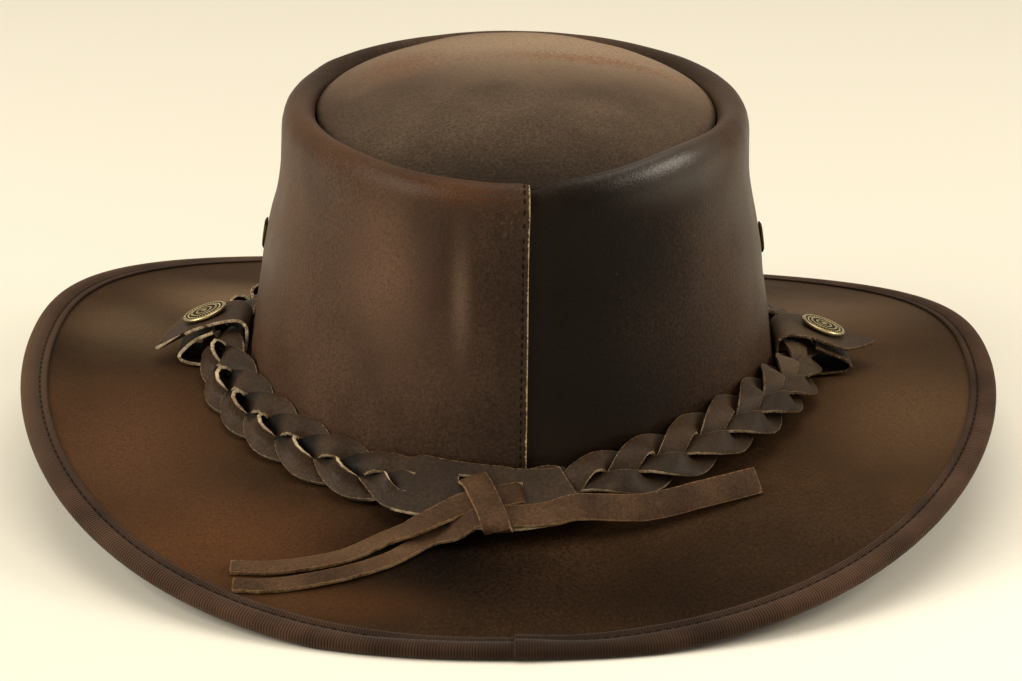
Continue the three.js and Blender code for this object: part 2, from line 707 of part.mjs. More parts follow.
function strand(entry) {
  const steps = CYCLES * STEPS_PER_CYCLE;
  const first = BRAID_FROM + BRAID_BLEND / 2;
  const last = BRAID_TO - BRAID_BLEND / 2;
  const lengths = Array.from({ length: steps + 1 }, (_, j) => lerp(first, last, j / steps));
  lengths.unshift(BRAID_FROM - STRAND_OVERLAP);
  lengths.push(BRAID_TO + STRAND_OVERLAP);
  return strip(lengths.map((length) => strandFrame(length, entry)));
}

// How far the free end of the over strap has slipped down from the band's middle line
function strapSag(length) {
  const tip = BRAID_TO + OVER_STRAP_LENGTH;
  return STRAP_SAG * smooth(length, tip - STRAP_SAG_LENGTH, tip);
}

// Uncut end of the strap between two lengths, with a slanted cut at its free end
function strapEnd(from, to, slant) {
  const count = STRAP_STEPS;
  const lengths = Array.from({ length: count + 1 }, (_, j) => lerp(from, to, j / count));
  const width = 2 * STRIP_PITCH + STRIP_WIDTH;
  return strip(lengths.map((length) => {
    const frame = bandFrame(length);
    const centre = frame.centre.clone().addScaledVector(frame.normal, strapHeight(length))
      .addScaledVector(frame.across, -strapSag(length));
    const cut = Math.abs(length - slant.at) < 1e-6 ? slant.by : 0;
    const across = frame.across.clone().multiplyScalar(width / 2).addScaledVector(frame.run, cut / 2);
    const scale = across.length() * 2;
    return { centre, across: across.normalize(), normal: frame.normal, width: scale, wall: STRAP_WALL };
  }));
}

function braidedBand() {
  const underFrom = BRAID_FROM - UNDER_STRAP_LENGTH;
  const overTo = BRAID_TO + OVER_STRAP_LENGTH;
  const pieces = STRANDS.map((entry) => solidOf(strand(entry)));
  pieces.push(solidOf(strapEnd(underFrom, BRAID_FROM + 1, { at: underFrom, by: 0 })));
  pieces.push(solidOf(strapEnd(BRAID_TO - 1, overTo, { at: overTo, by: OVER_STRAP_SLANT })));
  return geometryOf(pieces.reduce((sum, piece) => sum.add(piece)));
}

// Middle line of a keeper in the plane across the brim, [out from the foot, up from its level]
function keeperCurve(turn) {
  const height = bandSeat(turn).top + 2 * GAP + KEEPER_WALL / 2;
  return new THREE.CatmullRomCurve3(KEEPER_LINE.map((row) => {
    const out = row.out * KEEPER_REACH;
    const z = lerp(brimRise(turn, out), height, row.up);
    return new THREE.Vector3(out - crownTaper(turn, z), 0, z);
  }), false, "centripetal");
}

// Point of a keeper's plane, out and up, on one side of the hat
function onSide(side, { x, z }) {
  return new THREE.Vector3(side * (HEAD_SIDE + x), 0, FOOT_Z + FOOT_ARCH + z);
}

function studSeat(side) {
  const curve = keeperCurve(side > 0 ? 0 : Math.PI);
  const share = STUD_ROW / (KEEPER_LINE.length - 1);
  const point = onSide(side, curve.getPoint(share));
  const ahead = onSide(side, curve.getPoint(share - 0.01));
  const behind = onSide(side, curve.getPoint(share + 0.01));
  const run = ahead.sub(behind);
  const axis = new THREE.Vector3(-side * run.z, 0, side * run.x).normalize();
  return { point, axis };
}

function keeper(side) {
  const curve = keeperCurve(side > 0 ? 0 : Math.PI);
  const last = KEEPER_STEPS * (KEEPER_LINE.length - 1);
  const stations = Array.from({ length: last + 1 }, (_, j) => {
    const share = j / last;
    const centre = onSide(side, curve.getPoint(share));
    const near = onSide(side, curve.getPoint(Math.max(share - 0.01, 0)));
    const run = onSide(side, curve.getPoint(Math.min(share + 0.01, 1))).sub(near).normalize();
    const across = new THREE.Vector3(0, side, 0);
    const place = share * (KEEPER_LINE.length - 1);
    const low = KEEPER_LINE[Math.floor(place)].wide;
    const high = KEEPER_LINE[Math.ceil(place)].wide;
    const width = KEEPER_WIDTH * lerp(low, high, place % 1);
    return { centre, across, normal: run.clone().cross(across), width, wall: KEEPER_WALL };
  });
  return drilled(strip(stations), [studSeat(side)], STUD_POST + GAP, 2 * STUD_LENGTH + 1);
}

function snapStud(side) {
  const seat = KEEPER_WALL / 2 + GAP;
  const profile = [
    [0, -STUD_LENGTH],
    [STUD_POST, -STUD_LENGTH],
    [STUD_POST, seat],
    [STUD_RADIUS, seat],
    [STUD_RADIUS, seat + 0.3 * STUD_HEIGHT],
    [0.8 * STUD_RADIUS, seat + 0.68 * STUD_HEIGHT],
    [0.45 * STUD_RADIUS, seat + 0.92 * STUD_HEIGHT],
    [0, seat + STUD_HEIGHT],
  ].map(([radius, height]) => new THREE.Vector2(radius, height));
  return turnedTo(new THREE.LatheGeometry(profile, ROUND_SIDES + 2), studSeat(side));
}

// Place and face of the lace over the brim
function onBrim({ at, share, lift, lean }) {
  const turn = rad(at);
  const step = 0.02;
  const point = brimTop(turn, share);
  const outward = brimTop(turn, share + step).sub(brimTop(turn, share - step)).normalize();
  const round = brimTop(turn + step, share).sub(brimTop(turn - step, share)).normalize();
  const face = outward.clone().cross(round);
  face.multiplyScalar(Math.cos(rad(lean))).addScaledVector(outward, Math.sin(rad(lean)));
  return { centre: point.addScaledVector(UP, GAP + LACE_WALL * (0.5 + lift)), face };
}

// Place and face of the lace over the strap
function onStrap({ along, across, off, lean }) {
  const length = BRAID_TO + along * LACE_WIDTH;
  const frame = bandFrame(length);
  const above = strapHeight(length) + STRAP_WALL / 2 + GAP + LACE_WALL * (0.5 + off);
  const centre = frame.centre.clone().addScaledVector(frame.normal, above)
    .addScaledVector(frame.across, across * LACE_WIDTH);
  const face = frame.normal.clone().multiplyScalar(Math.cos(rad(lean)))
    .addScaledVector(frame.across, -Math.sin(rad(lean)));
  return { centre, face };
}

// Stretch of the lace through a row of places
function laceStrip(places) {
  const curve = new THREE.CatmullRomCurve3(places.map(({ centre }) => centre), false, "centripetal");
  const last = (places.length - 1) * LACE_STEPS;
  return strip(Array.from({ length: last + 1 }, (_, j) => {
    const share = j / last;
    const run = curve.getTangent(share);
    const before = places[Math.floor(j / LACE_STEPS)].face;
    const after = places[Math.ceil(j / LACE_STEPS)].face;
    const face = before.clone().lerp(after, (j % LACE_STEPS) / LACE_STEPS);
    const across = face.cross(run).normalize();
    return {
      centre: curve.getPoint(share),
      across,
      normal: run.clone().cross(across),
      width: LACE_WIDTH,
      wall: LACE_WALL,
    };
  }));
}

function tieLace() {
  const pieces = [
    [...UPPER_TAIL.map(onBrim), ...BRIDGE.map(onStrap)],
    [...LOWER_TAIL.map(onBrim), ...UNDER_WRAP.map(onStrap), ...RIGHT_TAIL.map(onBrim)],
    WRAP.map(onStrap),
  ].map((places) => solidOf(laceStrip(places)));
  return geometryOf(pieces.reduce((sum, piece) => sum.add(piece)));
}

const hat = new THREE.Group();
const crownLeather = { color: 0x3b2a1f, ...LEATHER };
const seats = [ventSeat(1), ventSeat(-1)];
const ventHole = EYELET_BORE + EYELET_BARREL + GAP;
hat.add(named("crown_side", drilled(crownSide(), seats, ventHole, 6 * CROWN_WALL), crownLeather));
hat.add(named("crown_tip", crownTip(), { color: 0x51443a, ...LEATHER }));
hat.add(named("brim", brim(), { color: 0x40291b, ...LEATHER }));
hat.add(named("brim_binding", brimBinding(), { color: 0x2f221b, ...LEATHER }));
hat.add(named("vent_eyelet_right", eyelet(1), BRASS));
hat.add(named("vent_eyelet_left", eyelet(-1), BRASS));
hat.add(named("braided_band", braidedBand(), { color: 0x46352a, ...LEATHER }));
hat.add(named("keeper_right", keeper(1), { color: 0x3a2b22, ...LEATHER }));
hat.add(named("keeper_left", keeper(-1), { color: 0x3a2b22, ...LEATHER }));
hat.add(named("snap_stud_right", snapStud(1), BRASS));
hat.add(named("snap_stud_left", snapStud(-1), BRASS));
hat.add(named("tie_lace", tieLace(), { color: 0x4a3325, ...LEATHER }));

// The origin lies on the resting surface below the middle of the brim
hat.position.y = -BRIM_AHEAD;

export default hat;
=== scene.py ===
"""Leather outback hat resting on a pale floor, seen from behind: walls, braid, lace, stitches and metal."""
import logging
import math
from collections.abc import Callable, Sequence
from dataclasses import dataclass, field
from enum import Enum, Flag, auto
from typing import NamedTuple

import bmesh
import bpy
from mathutils import Matrix, Vector, noise


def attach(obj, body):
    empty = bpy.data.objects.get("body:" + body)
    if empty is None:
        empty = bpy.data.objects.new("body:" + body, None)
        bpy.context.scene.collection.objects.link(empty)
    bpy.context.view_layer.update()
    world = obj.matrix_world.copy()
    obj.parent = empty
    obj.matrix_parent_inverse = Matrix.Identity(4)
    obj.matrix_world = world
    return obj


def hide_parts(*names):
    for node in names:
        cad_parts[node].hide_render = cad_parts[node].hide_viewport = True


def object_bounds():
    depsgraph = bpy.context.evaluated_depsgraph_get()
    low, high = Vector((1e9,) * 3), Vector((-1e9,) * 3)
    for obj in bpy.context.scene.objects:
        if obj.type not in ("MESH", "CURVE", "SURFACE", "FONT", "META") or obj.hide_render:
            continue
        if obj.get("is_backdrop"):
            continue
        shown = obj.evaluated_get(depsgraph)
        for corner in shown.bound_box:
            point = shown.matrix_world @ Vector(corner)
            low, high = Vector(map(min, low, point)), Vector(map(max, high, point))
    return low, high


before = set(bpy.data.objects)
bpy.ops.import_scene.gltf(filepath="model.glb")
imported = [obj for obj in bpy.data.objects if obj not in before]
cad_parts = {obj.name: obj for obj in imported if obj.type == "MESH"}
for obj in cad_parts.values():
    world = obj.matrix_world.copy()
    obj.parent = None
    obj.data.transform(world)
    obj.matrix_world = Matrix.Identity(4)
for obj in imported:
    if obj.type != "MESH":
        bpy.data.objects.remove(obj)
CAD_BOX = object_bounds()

log = logging.getLogger("hat")

MM = 0.001
TAU = 2 * math.pi
UP = Vector((0, 0, 1))
IMAGE_WIDTH = 1022
ROOT = "root"
EDGE_LAYER = "edge_mm"
# Per-vertex depth of the braid's strips, by which painted shade is laid into their colour.
DEPTH_LAYER = "depth"
# Vertices nearer than this are one, in the finished mesh's metres and in a turned part's millimetres.
MERGE_M = 0.00001
MERGE_MM = 1e-4
# Steps to either side of a place, in radians or shares, that a slope or a normal is taken over.
FINE_STEP = 0.003
STEP = 0.004
WIDE_STEP = 0.01
# Blender's noise rarely leaves these values.
NOISE_LOW = 0.3
NOISE_HIGH = 0.7

Place = Callable[[float, float], Vector]
Tree = bpy.types.NodeTree
Socket = bpy.types.NodeSocket
Material = bpy.types.Material
Pair = tuple[float, float]
Triple = tuple[float, float, float]
Colour = Socket | tuple[float, float, float, float]


def lerp(low: float, high: float, share: float) -> float:
    """Value at a share of the way from low to high."""
    return low + (high - low) * share


def smooth(value: float, low: float, high: float) -> float:
    """Smooth step from 0 at low to 1 at high."""
    share = min(max((value - low) / (high - low), 0.0), 1.0)
    return share * share * (3 - 2 * share)


def bump(value: float, centre: float, spread: float) -> float:
    """Bell of height 1 at a centre, with a given spread."""
    return math.exp(-(((value - centre) / spread) ** 2))


def window(value: float, opens: Pair, closes: Pair) -> float:
    """Soft window of height 1, which rises over the first two values and falls over the last two."""
    return smooth(value, *opens) * (1 - smooth(value, *closes))


def between(rows: Sequence[NamedTuple], key: str, place: float, value: str) -> float:
    """Value of a table at a place between two of its rows.

    Args:
        rows: the table, in rising order of its key.
        key: name of the column that is looked up.
        place: where to look.
        value: name of the column that is read.

    Returns:
        The value, straight between the two rows and level past the ends.
    """
    last = len(rows) - 2
    row = next((i for i in range(last) if getattr(rows[i + 1], key) >= place), last)
    low, high = rows[row], rows[row + 1]
    span = getattr(high, key) - getattr(low, key)
    share = min(max((place - getattr(low, key)) / span, 0.0), 1.0)
    return lerp(getattr(low, value), getattr(high, value), share)


def through(points: Sequence[Vector], share: float) -> Vector:
    """Point on a smooth curve through a row of points.

    Args:
        points: what the curve passes through.
        share: how far along the row, from 0 to 1.

    Returns:
        The point, on a Catmull-Rom curve with equal shares between its points.
    """
    place = min(max(share, 0.0), 1.0) * (len(points) - 1)
    i = min(int(place), len(points) - 2)
    t = place - i
    a = points[i - 1] if i else points[0] * 2 - points[1]
    b, c = points[i], points[i + 1]
    d = points[i + 2] if i + 2 < len(points) else points[-1] * 2 - points[-2]
    return 0.5 * (b * 2 + (c - a) * t + (a * 2 - b * 5 + c * 4 - d) * t**2 + (b * 3 - a - c * 3 + d) * t**3)


def oval(turn: float, side: float, end: float) -> tuple[Vector, Vector]:
    """Point and outward normal of an oval.

    Args:
        turn: angle round it in radians, 0 at the right.
        side: half size across the hat.
        end: half size along the hat.

    Returns:
        The point and the unit normal, both level.
    """
    point = Vector((side * math.cos(turn), end * math.sin(turn), 0))
    normal = Vector((math.cos(turn) / side, math.sin(turn) / end, 0)).normalized()
    return point, normal


class TaperRow(NamedTuple):
    """How far the crown wall has drawn in at a share of its height."""

    up: float
    taper: float


CROWN_TAPER = tuple(TaperRow(*row) for row in (
    (0, 0), (0.21, 0.21), (0.44, 0.5), (0.54, 0.6), (0.62, 0.78), (0.71, 0.93), (0.83, 0.99), (1, 1),
))


@dataclass(frozen=True)
class HatForm:
    """Form of the crown and brim in millimetres: +X the wearer's right, +Y the front, +Z up."""

    gap: float = 0.3
    wall: float = 2.0
    ribbon_wall: float = 0.9
    head_side: float = 87.5
    head_end: float = 104
    foot_rise: float = 6.5
    crown_height: float = 98.5
    crown_side: float = 75.8
    crown_end: float = 96.2
    rim_radius: float = 5.5
    rim_depth: float = 9
    crown_shift: float = 0.7
    rim_dip: float = 3.5
    rim_swell: float = 3.2
    rim_swell_at: float = math.radians(-48)
    rim_swell_spread: float = math.radians(26)
    tip_sink: float = 4
    tip_rise: float = 14
    tip_tilt: float = 3.3
    seam_offset: float = 3.8
    seam_lap: float = 12
    seam_ease: float = 14
    brim_side: float = 159.5
    brim_end: float = 181.5
    brim_ahead: float = 3.6
    brim_squareness: float = 2.24
    brim_skew: float = 0.011
    end_drop: float = 17.8
    side_lift: float = 7.7
    shoulder: float = 1.4
    lean: float = -2.0
    twist: float = -2.2
    curl: float = 1.2
    rest_sink: float = 2.0
    collar_height: float = 12
    ribbon_width: float = 9.6
    eyelet_up: float = 45

    @property
    def stack(self) -> float:
        """Height of the brim's top face where the bound edge rests."""
        return self.ribbon_wall + self.gap + self.wall

    @property
    def foot_z(self) -> float:
        """Height of the crown's foot at the front and back."""
        return self.stack + self.end_drop - self.rest_sink

    def foot(self, turn: float) -> float:
        """Height of the crown's foot, which arches over the sides."""
        return self.foot_z + self.foot_rise * math.cos(turn) ** 2

    def crest(self, turn: float) -> float:
        """Height of the rim's crest above the front foot, dipped at the back with one swell.

        Args:
            turn: angle round the crown.

        Returns:
            The height in millimetres.
        """
        back = max(0.0, -math.sin(turn)) ** 3
        away = math.remainder(turn - self.rim_swell_at, TAU)
        swell = self.rim_swell * bump(away, 0, self.rim_swell_spread)
        return self.crown_height - self.rim_dip * back + swell

    def drawn_in(self, turn: float, height: float) -> float:
        """How far the crown wall has drawn in at a height above its foot."""
        share = height / (self.crest(turn) - self.foot(turn) + self.foot_z)
        return between(CROWN_TAPER, "up", share, "taper") * (self.head_side - self.crown_side)

    def tip_top(self, turn: float, share: float) -> float:
        """Height of the crown tip's top face, from its middle (0) to its edge (1)."""
        edge = self.crown_height - self.tip_sink + self.tip_tilt * math.sin(turn) * share**2
        return self.foot_z + self.gap + edge + self.tip_rise * (1 - share**3)

    def brim_edge(self, turn: float) -> Vector:
        """Edge of the brim's leather in plan.

        Args:
            turn: angle round the brim.

        Returns:
            The point, at height 0.
        """
        cover = self.ribbon_wall + self.gap
        across = abs(math.cos(turn)) ** self.brim_squareness
        along = abs(math.sin(turn)) ** self.brim_squareness
        reach = (across + along) ** (-1 / self.brim_squareness)
        reach *= 1 + self.brim_skew * math.sin(2 * turn)
        x = (self.brim_side - cover) * reach * math.cos(turn)
        y = (self.brim_end - cover) * reach * math.sin(turn) + self.brim_ahead
        return Vector((x, y, 0))

    def brim_top(self, turn: float, share: float) -> Vector:
        """Top face of the brim, from the foot of the crown (0) to the edge of the leather (1).

        Args:
            turn: angle round the brim.
            share: how far out it is; beyond 1 it goes on past the edge.

        Returns:
            The point, never lower than where the bound edge rests on the floor.
        """
        point = oval(turn, self.head_side, self.head_end)[0].lerp(self.brim_edge(turn), share)
        level = (self.side_lift - self.end_drop) / 2 - self.shoulder
        saddle = ((self.side_lift + self.end_drop) / 2) * math.cos(2 * turn)
        shoulder = self.shoulder * math.cos(4 * turn)
        askew = self.lean * math.cos(turn) + self.twist * math.sin(2 * turn)
        fall = (level + saddle + shoulder + askew) * max(share, 0) ** self.curl
        point.z = max(self.foot(turn) + fall, self.stack)
        return point

    def brim_width(self, turn: float) -> float:
        """Level width of the brim from the foot of the crown to the edge of its leather."""
        return (self.brim_edge(turn) - oval(turn, self.head_side, self.head_end)[0]).length

    def seam_turns(self) -> Triple:
        """Turns of the crown panel's hidden end, of its lapped edge and of where it lies full out."""
        edge = -math.pi / 2 + self.seam_offset / self.head_side
        return edge - self.seam_lap / self.head_side, edge, edge + self.seam_ease / self.head_side


FORM = HatForm()


def in_frame(point: Vector) -> Vector:
    """Place in the frame, in metres, of a point given from the middle of the crown in millimetres."""
    return (point - Vector((0, FORM.brim_ahead, 0))) * MM


class Side(Enum):
    """The wearer's sides."""

    RIGHT = 1
    LEFT = -1

    @property
    def label(self) -> str:
        """Side in words."""
        return self.name.lower()

    @property
    def turn(self) -> float:
        """Angle round the hat of the side's middle."""
        return 0.0 if self is Side.RIGHT else math.pi


@dataclass(frozen=True)
class Wall:
    """How a sheet becomes a wall: thickness in millimetres, and where the sheet lies in it.

    A side of 1 leaves the sheet as the wall's lower face, -1 as its upper face, 0 as its middle.
    """

    thickness: float
    side: float = 0.0
    rounding: float = 0.3
    segments: int = 2


class CutEdges(Flag):
    """Edges of a sheet that were cut and show bare leather."""

    NONE = 0
    START = auto()
    END = auto()
    SIDES = auto()
    ALL = START | END | SIDES

    def distance(self, along: float, across: float, size: Pair) -> float:
        """Distance of a place on a sheet to its nearest cut edge, in millimetres.

        Args:
            along: share of the sheet's length.
            across: share of its width.
            size: its length and width in millimetres.

        Returns:
            The distance, or the sheet's diagonal where no edge is cut.
        """
        far = math.hypot(*size)
        start = along * size[0] if self & CutEdges.START else far
        end = (1 - along) * size[0] if self & CutEdges.END else far
        side = min(across, 1 - across) * size[1] if self & CutEdges.SIDES else far
        return min(start, end, side)


class Stitch(NamedTuple):
    """Size of a thread stitch in millimetres."""

    length: float
    width: float
    height: float


class SheetMesh:
    """Mesh of one or more sheets, each a grid laid out in the hat's own millimetres."""

    def __init__(self, name: str) -> None:
        """Starts an empty mesh.

        Args:
            name: what the finished piece is called.
        """
        self.name = name
        self.mesh = bmesh.new()
        self.uv = self.mesh.loops.layers.uv.new("UVMap")
        self.edge = self.mesh.verts.layers.float.new(EDGE_LAYER)
        self.depth = self.mesh.verts.layers.float.new(DEPTH_LAYER)

    def lay(self, columns: int, rows: int, place: Place, size: Pair,
            edges: CutEdges = CutEdges.ALL, cut: Callable[[float, float], bool] | None = None,
            depth: Callable[[float, float], float] | None = None) -> None:
        """Lays one sheet.

        Args:
            columns: faces along the sheet.
            rows: faces across it.
            place: gives the point at a share along and a share across.
            size: length and width, for the pattern that follows the surface.
            edges: which of its edges are cut edges that show bare leather.
            cut: says which faces are cut out, by the middle's length and width in millimetres.
            depth: how deep the sheet lies between others, from 0 to 1, at a share along and across it,
            for painted shade; below 0 where its cut edge takes painted shade.
        """
        made = bmesh.ops.create_grid(self.mesh, x_segments=columns, y_segments=rows, size=0.5,
                                     calc_uvs=True)["verts"]
        shares = {vert: (vert.co.x + 0.5, vert.co.y + 0.5) for vert in made}
        faces = {face for vert in made for face in vert.link_faces}
        for face in faces:
            for loop in face.loops:
                along, across = shares[loop.vert]
                loop[self.uv].uv = (along * size[0], across * size[1])
        if cut:
            gone = [face for face in faces if cut(*self.middle(face, shares, size))]
            bmesh.ops.delete(self.mesh, geom=gone, context="FACES")
            made = [vert for vert in made if vert.is_valid]
        for vert in made:
            vert[self.edge] = edges.distance(*shares[vert], size)
            vert[self.depth] = depth(*shares[vert]) if depth else 0.0
            vert.co = in_frame(place(*shares[vert]))

    @staticmethod
    def middle(face: bmesh.types.BMFace, shares: dict, size: Pair) -> Pair:
        """Middle of a face as length along and across its sheet."""
        found = [shares[vert] for vert in face.verts]
        return tuple(sum(share) / len(found) * length for share, length in zip(zip(*found), size))

    def turn_over(self) -> None:
        """Turns the sheets over, so that the grain side faces out."""
        bmesh.ops.reverse_faces(self.mesh, faces=self.mesh.faces[:])

    def sew(self, seats: Sequence[Matrix], stitch: Stitch) -> None:
        """Sews a stitch at each seat, along the seat's x axis.

        Args:
            seats: where the stitches sit, in the hat's own millimetres.
            stitch: their size.
        """
        scale = Matrix.Diagonal((*[length / 2 for length in stitch], 1))
        for seat in seats:
            made = bmesh.ops.create_uvsphere(self.mesh, u_segments=6, v_segments=4, radius=1,
                                             matrix=seat @ scale)["verts"]
            for vert in made:
                vert.co = in_frame(vert.co)

    def finish(self, materials: Sequence[Material], slot: str, *nodes: str,
               wall: Wall | None = None) -> bpy.types.Object:
        """Makes the object, thickens it and seats it on the frame.

        Args:
            materials: upper face, lower face and cut edge, or one for all.
            slot: the record's material slot.
            nodes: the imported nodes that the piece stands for.
            wall: how the sheets become walls.

        Returns:
            The finished piece.
        """
        bmesh.ops.remove_doubles(self.mesh, verts=self.mesh.verts[:], dist=MERGE_M)
        piece = made_object(self.name, self.mesh, materials)
        if wall:
            solid = piece.modifiers.new("wall", "SOLIDIFY")
            solid.thickness = wall.thickness * MM
            solid.offset = wall.side
            solid.use_even_offset = True
            solid.material_offset = 1
            solid.material_offset_rim = 2
            if wall.rounding:
                rounded = piece.modifiers.new("rounding", "BEVEL")
                rounded.width = wall.rounding * MM
                rounded.segments = wall.segments
                rounded.limit_method = "ANGLE"
                rounded.angle_limit = math.radians(50)
        return seated(piece, slot, *nodes)


def made_object(name: str, mesh: bmesh.types.BMesh, materials: Sequence[Material]) -> bpy.types.Object:
    """Turns a finished bmesh into an object at the origin, with smooth faces.

    Args:
        name: what the object is called.
        mesh: the mesh in metres, which is freed.
        materials: its materials, by the faces' numbers.

    Returns:
        The object.
    """
    for face in mesh.faces:
        face.smooth = True
    data = bpy.data.meshes.new(name)
    mesh.to_mesh(data)
    mesh.free()
    for material in materials:
        data.materials.append(material)
    piece = bpy.data.objects.new(name, data)
    bpy.context.scene.collection.objects.link(piece)
    return piece


def seated(piece: bpy.types.Object, slot: str, *nodes: str) -> bpy.types.Object:
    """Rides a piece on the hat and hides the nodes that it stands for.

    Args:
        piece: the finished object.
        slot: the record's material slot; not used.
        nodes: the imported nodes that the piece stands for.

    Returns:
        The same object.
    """
    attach(piece, ROOT)
    if nodes:
        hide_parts(*nodes)
    corners = [piece.matrix_world @ Vector(corner) for corner in piece.bound_box]
    size = [1000 * (max(c[i] for c in corners) - min(c[i] for c in corners)) for i in range(3)]
    log.info("%s: %.0f x %.0f x %.0f mm, %d faces", piece.name, *size, len(piece.data.polygons))
    return piece


def linear(code: str) -> Colour:
    """Linear colour of an sRGB hex code."""
    values = [int(code[i:i + 2], 16) / 255 for i in (1, 3, 5)]
    return (*[v / 12.92 if v <= 0.04045 else ((v + 0.055) / 1.055) ** 2.4 for v in values], 1.0)


def fill(tree: Tree, node: bpy.types.Node, sockets: dict) -> None:
    """Gives a node's inputs their values and links.

    Args:
        tree: the material's tree.
        node: the node.
        sockets: input names or numbers, with the value or the output that each one gets.
    """
    for name, value in sockets.items():
        if isinstance(value, Socket):
            tree.links.new(value, node.inputs[name])
        else:
            node.inputs[name].default_value = value


def add(tree: Tree, kind: str, sockets: dict | None = None, out: int | str = 0,
        **settings: object) -> Socket:
    """Adds a shader node.

    Args:
        tree: the material's tree.
        kind: the node's type without its first words.
        sockets: what its inputs get.
        out: number or name of the output that is used.
        settings: the node's own settings.

    Returns:
        That output.
    """
    node = tree.nodes.new("ShaderNode" + kind)
    for name, value in settings.items():
        setattr(node, name, value)
    fill(tree, node, sockets or {})
    return node.outputs[out]


def started(name: str) -> tuple[Material, Tree, Socket]:
    """Starts a material.

    Args:
        name: what the real material is.

    Returns:
        The material, its node tree and the point in the frame that its patterns read.
    """
    material = bpy.data.materials.new(name)
    material.use_nodes = True
    tree = material.node_tree
    return material, tree, add(tree, "TexCoord", out="Object")


def shaded(material: Material, sockets: dict) -> Material:
    """Gives the material's shader its inputs."""
    fill(material.node_tree, material.node_tree.nodes["Principled BSDF"], sockets)
    return material


def layered(tree: Tree, ground: Colour, layers: Sequence[tuple[Socket, str]]) -> Socket:
    """Lays colours over a ground, one over another.

    Args:
        tree: the material's tree.
        ground: the colour below.
        layers: each layer's share and its hex code.

    Returns:
        The colour on top.
    """
    for share, code in layers:
        ground = add(tree, "Mix", {0: share, 6: ground, 7: linear(code)}, 2, data_type="RGBA")
    return ground


def darkened(tree: Tree, colour: Socket, full: float, strength: float) -> Socket:
    """Paints shade into a colour by the depth that is stored in the mesh.

    Args:
        tree: the material's tree.
        colour: the colour at a depth of 0.
        full: the depth at which it is darkest.
        strength: share of the colour that is lost there.

    Returns:
        The darkened colour.
    """
    depth = add(tree, "Attribute", out="Fac", attribute_name=DEPTH_LAYER)
    kept = add(tree, "MapRange", {0: depth, 1: 0.0, 2: full, 3: 1.0, 4: 1 - strength})
    return add(tree, "VectorMath", {0: colour, 1: kept}, operation="MULTIPLY")


@dataclass(frozen=True)
class Patch:
    """Worn, dusty or oiled place, painted light or painted shade: a soft ellipsoid in millimetres of the
    frame, with its colour.

    The colour is empty where the patch changes the gloss alone.
    """

    colour: str
    centre: Triple
    radii: Triple
    strength: float
    broken: float = 0.35

    def layer(self, tree: Tree, place: Socket, speck: Socket) -> tuple[Socket, str]:
        """Layer of the patch for a colour."""
        return self.fade(tree, place, speck), self.colour

    def fade(self, tree: Tree, place: Socket, speck: Socket) -> Socket:
        """Share of the patch at each point, broken up by fine specks.

        Args:
            tree: the material's tree.
            place: the point in the frame.
            speck: fine noise that roughens the patch's rim.

        Returns:
            The share, from 0 far away to the patch's strength at its middle.
        """
        centre = tuple(value * MM for value in self.centre)
        scale = tuple(1 / (value * MM) for value in self.radii)
        offset = add(tree, "VectorMath", {0: place, 1: centre}, operation="SUBTRACT")
        shaped = add(tree, "VectorMath", {0: offset, 1: scale}, operation="MULTIPLY")
        reach = add(tree, "VectorMath", {0: shaped}, "Value", operation="LENGTH")
        uneven = add(tree, "MapRange", {0: speck, 1: NOISE_LOW, 2: NOISE_HIGH, 3: -self.broken,
                                        4: self.broken})
        moved = add(tree, "Math", {0: reach, 1: uneven}, operation="ADD")
        return add(tree, "MapRange", {0: moved, 1: 0.0, 2: 1.0, 3: self.strength, 4: 0.0},
                   interpolation_type="SMOOTHSTEP")


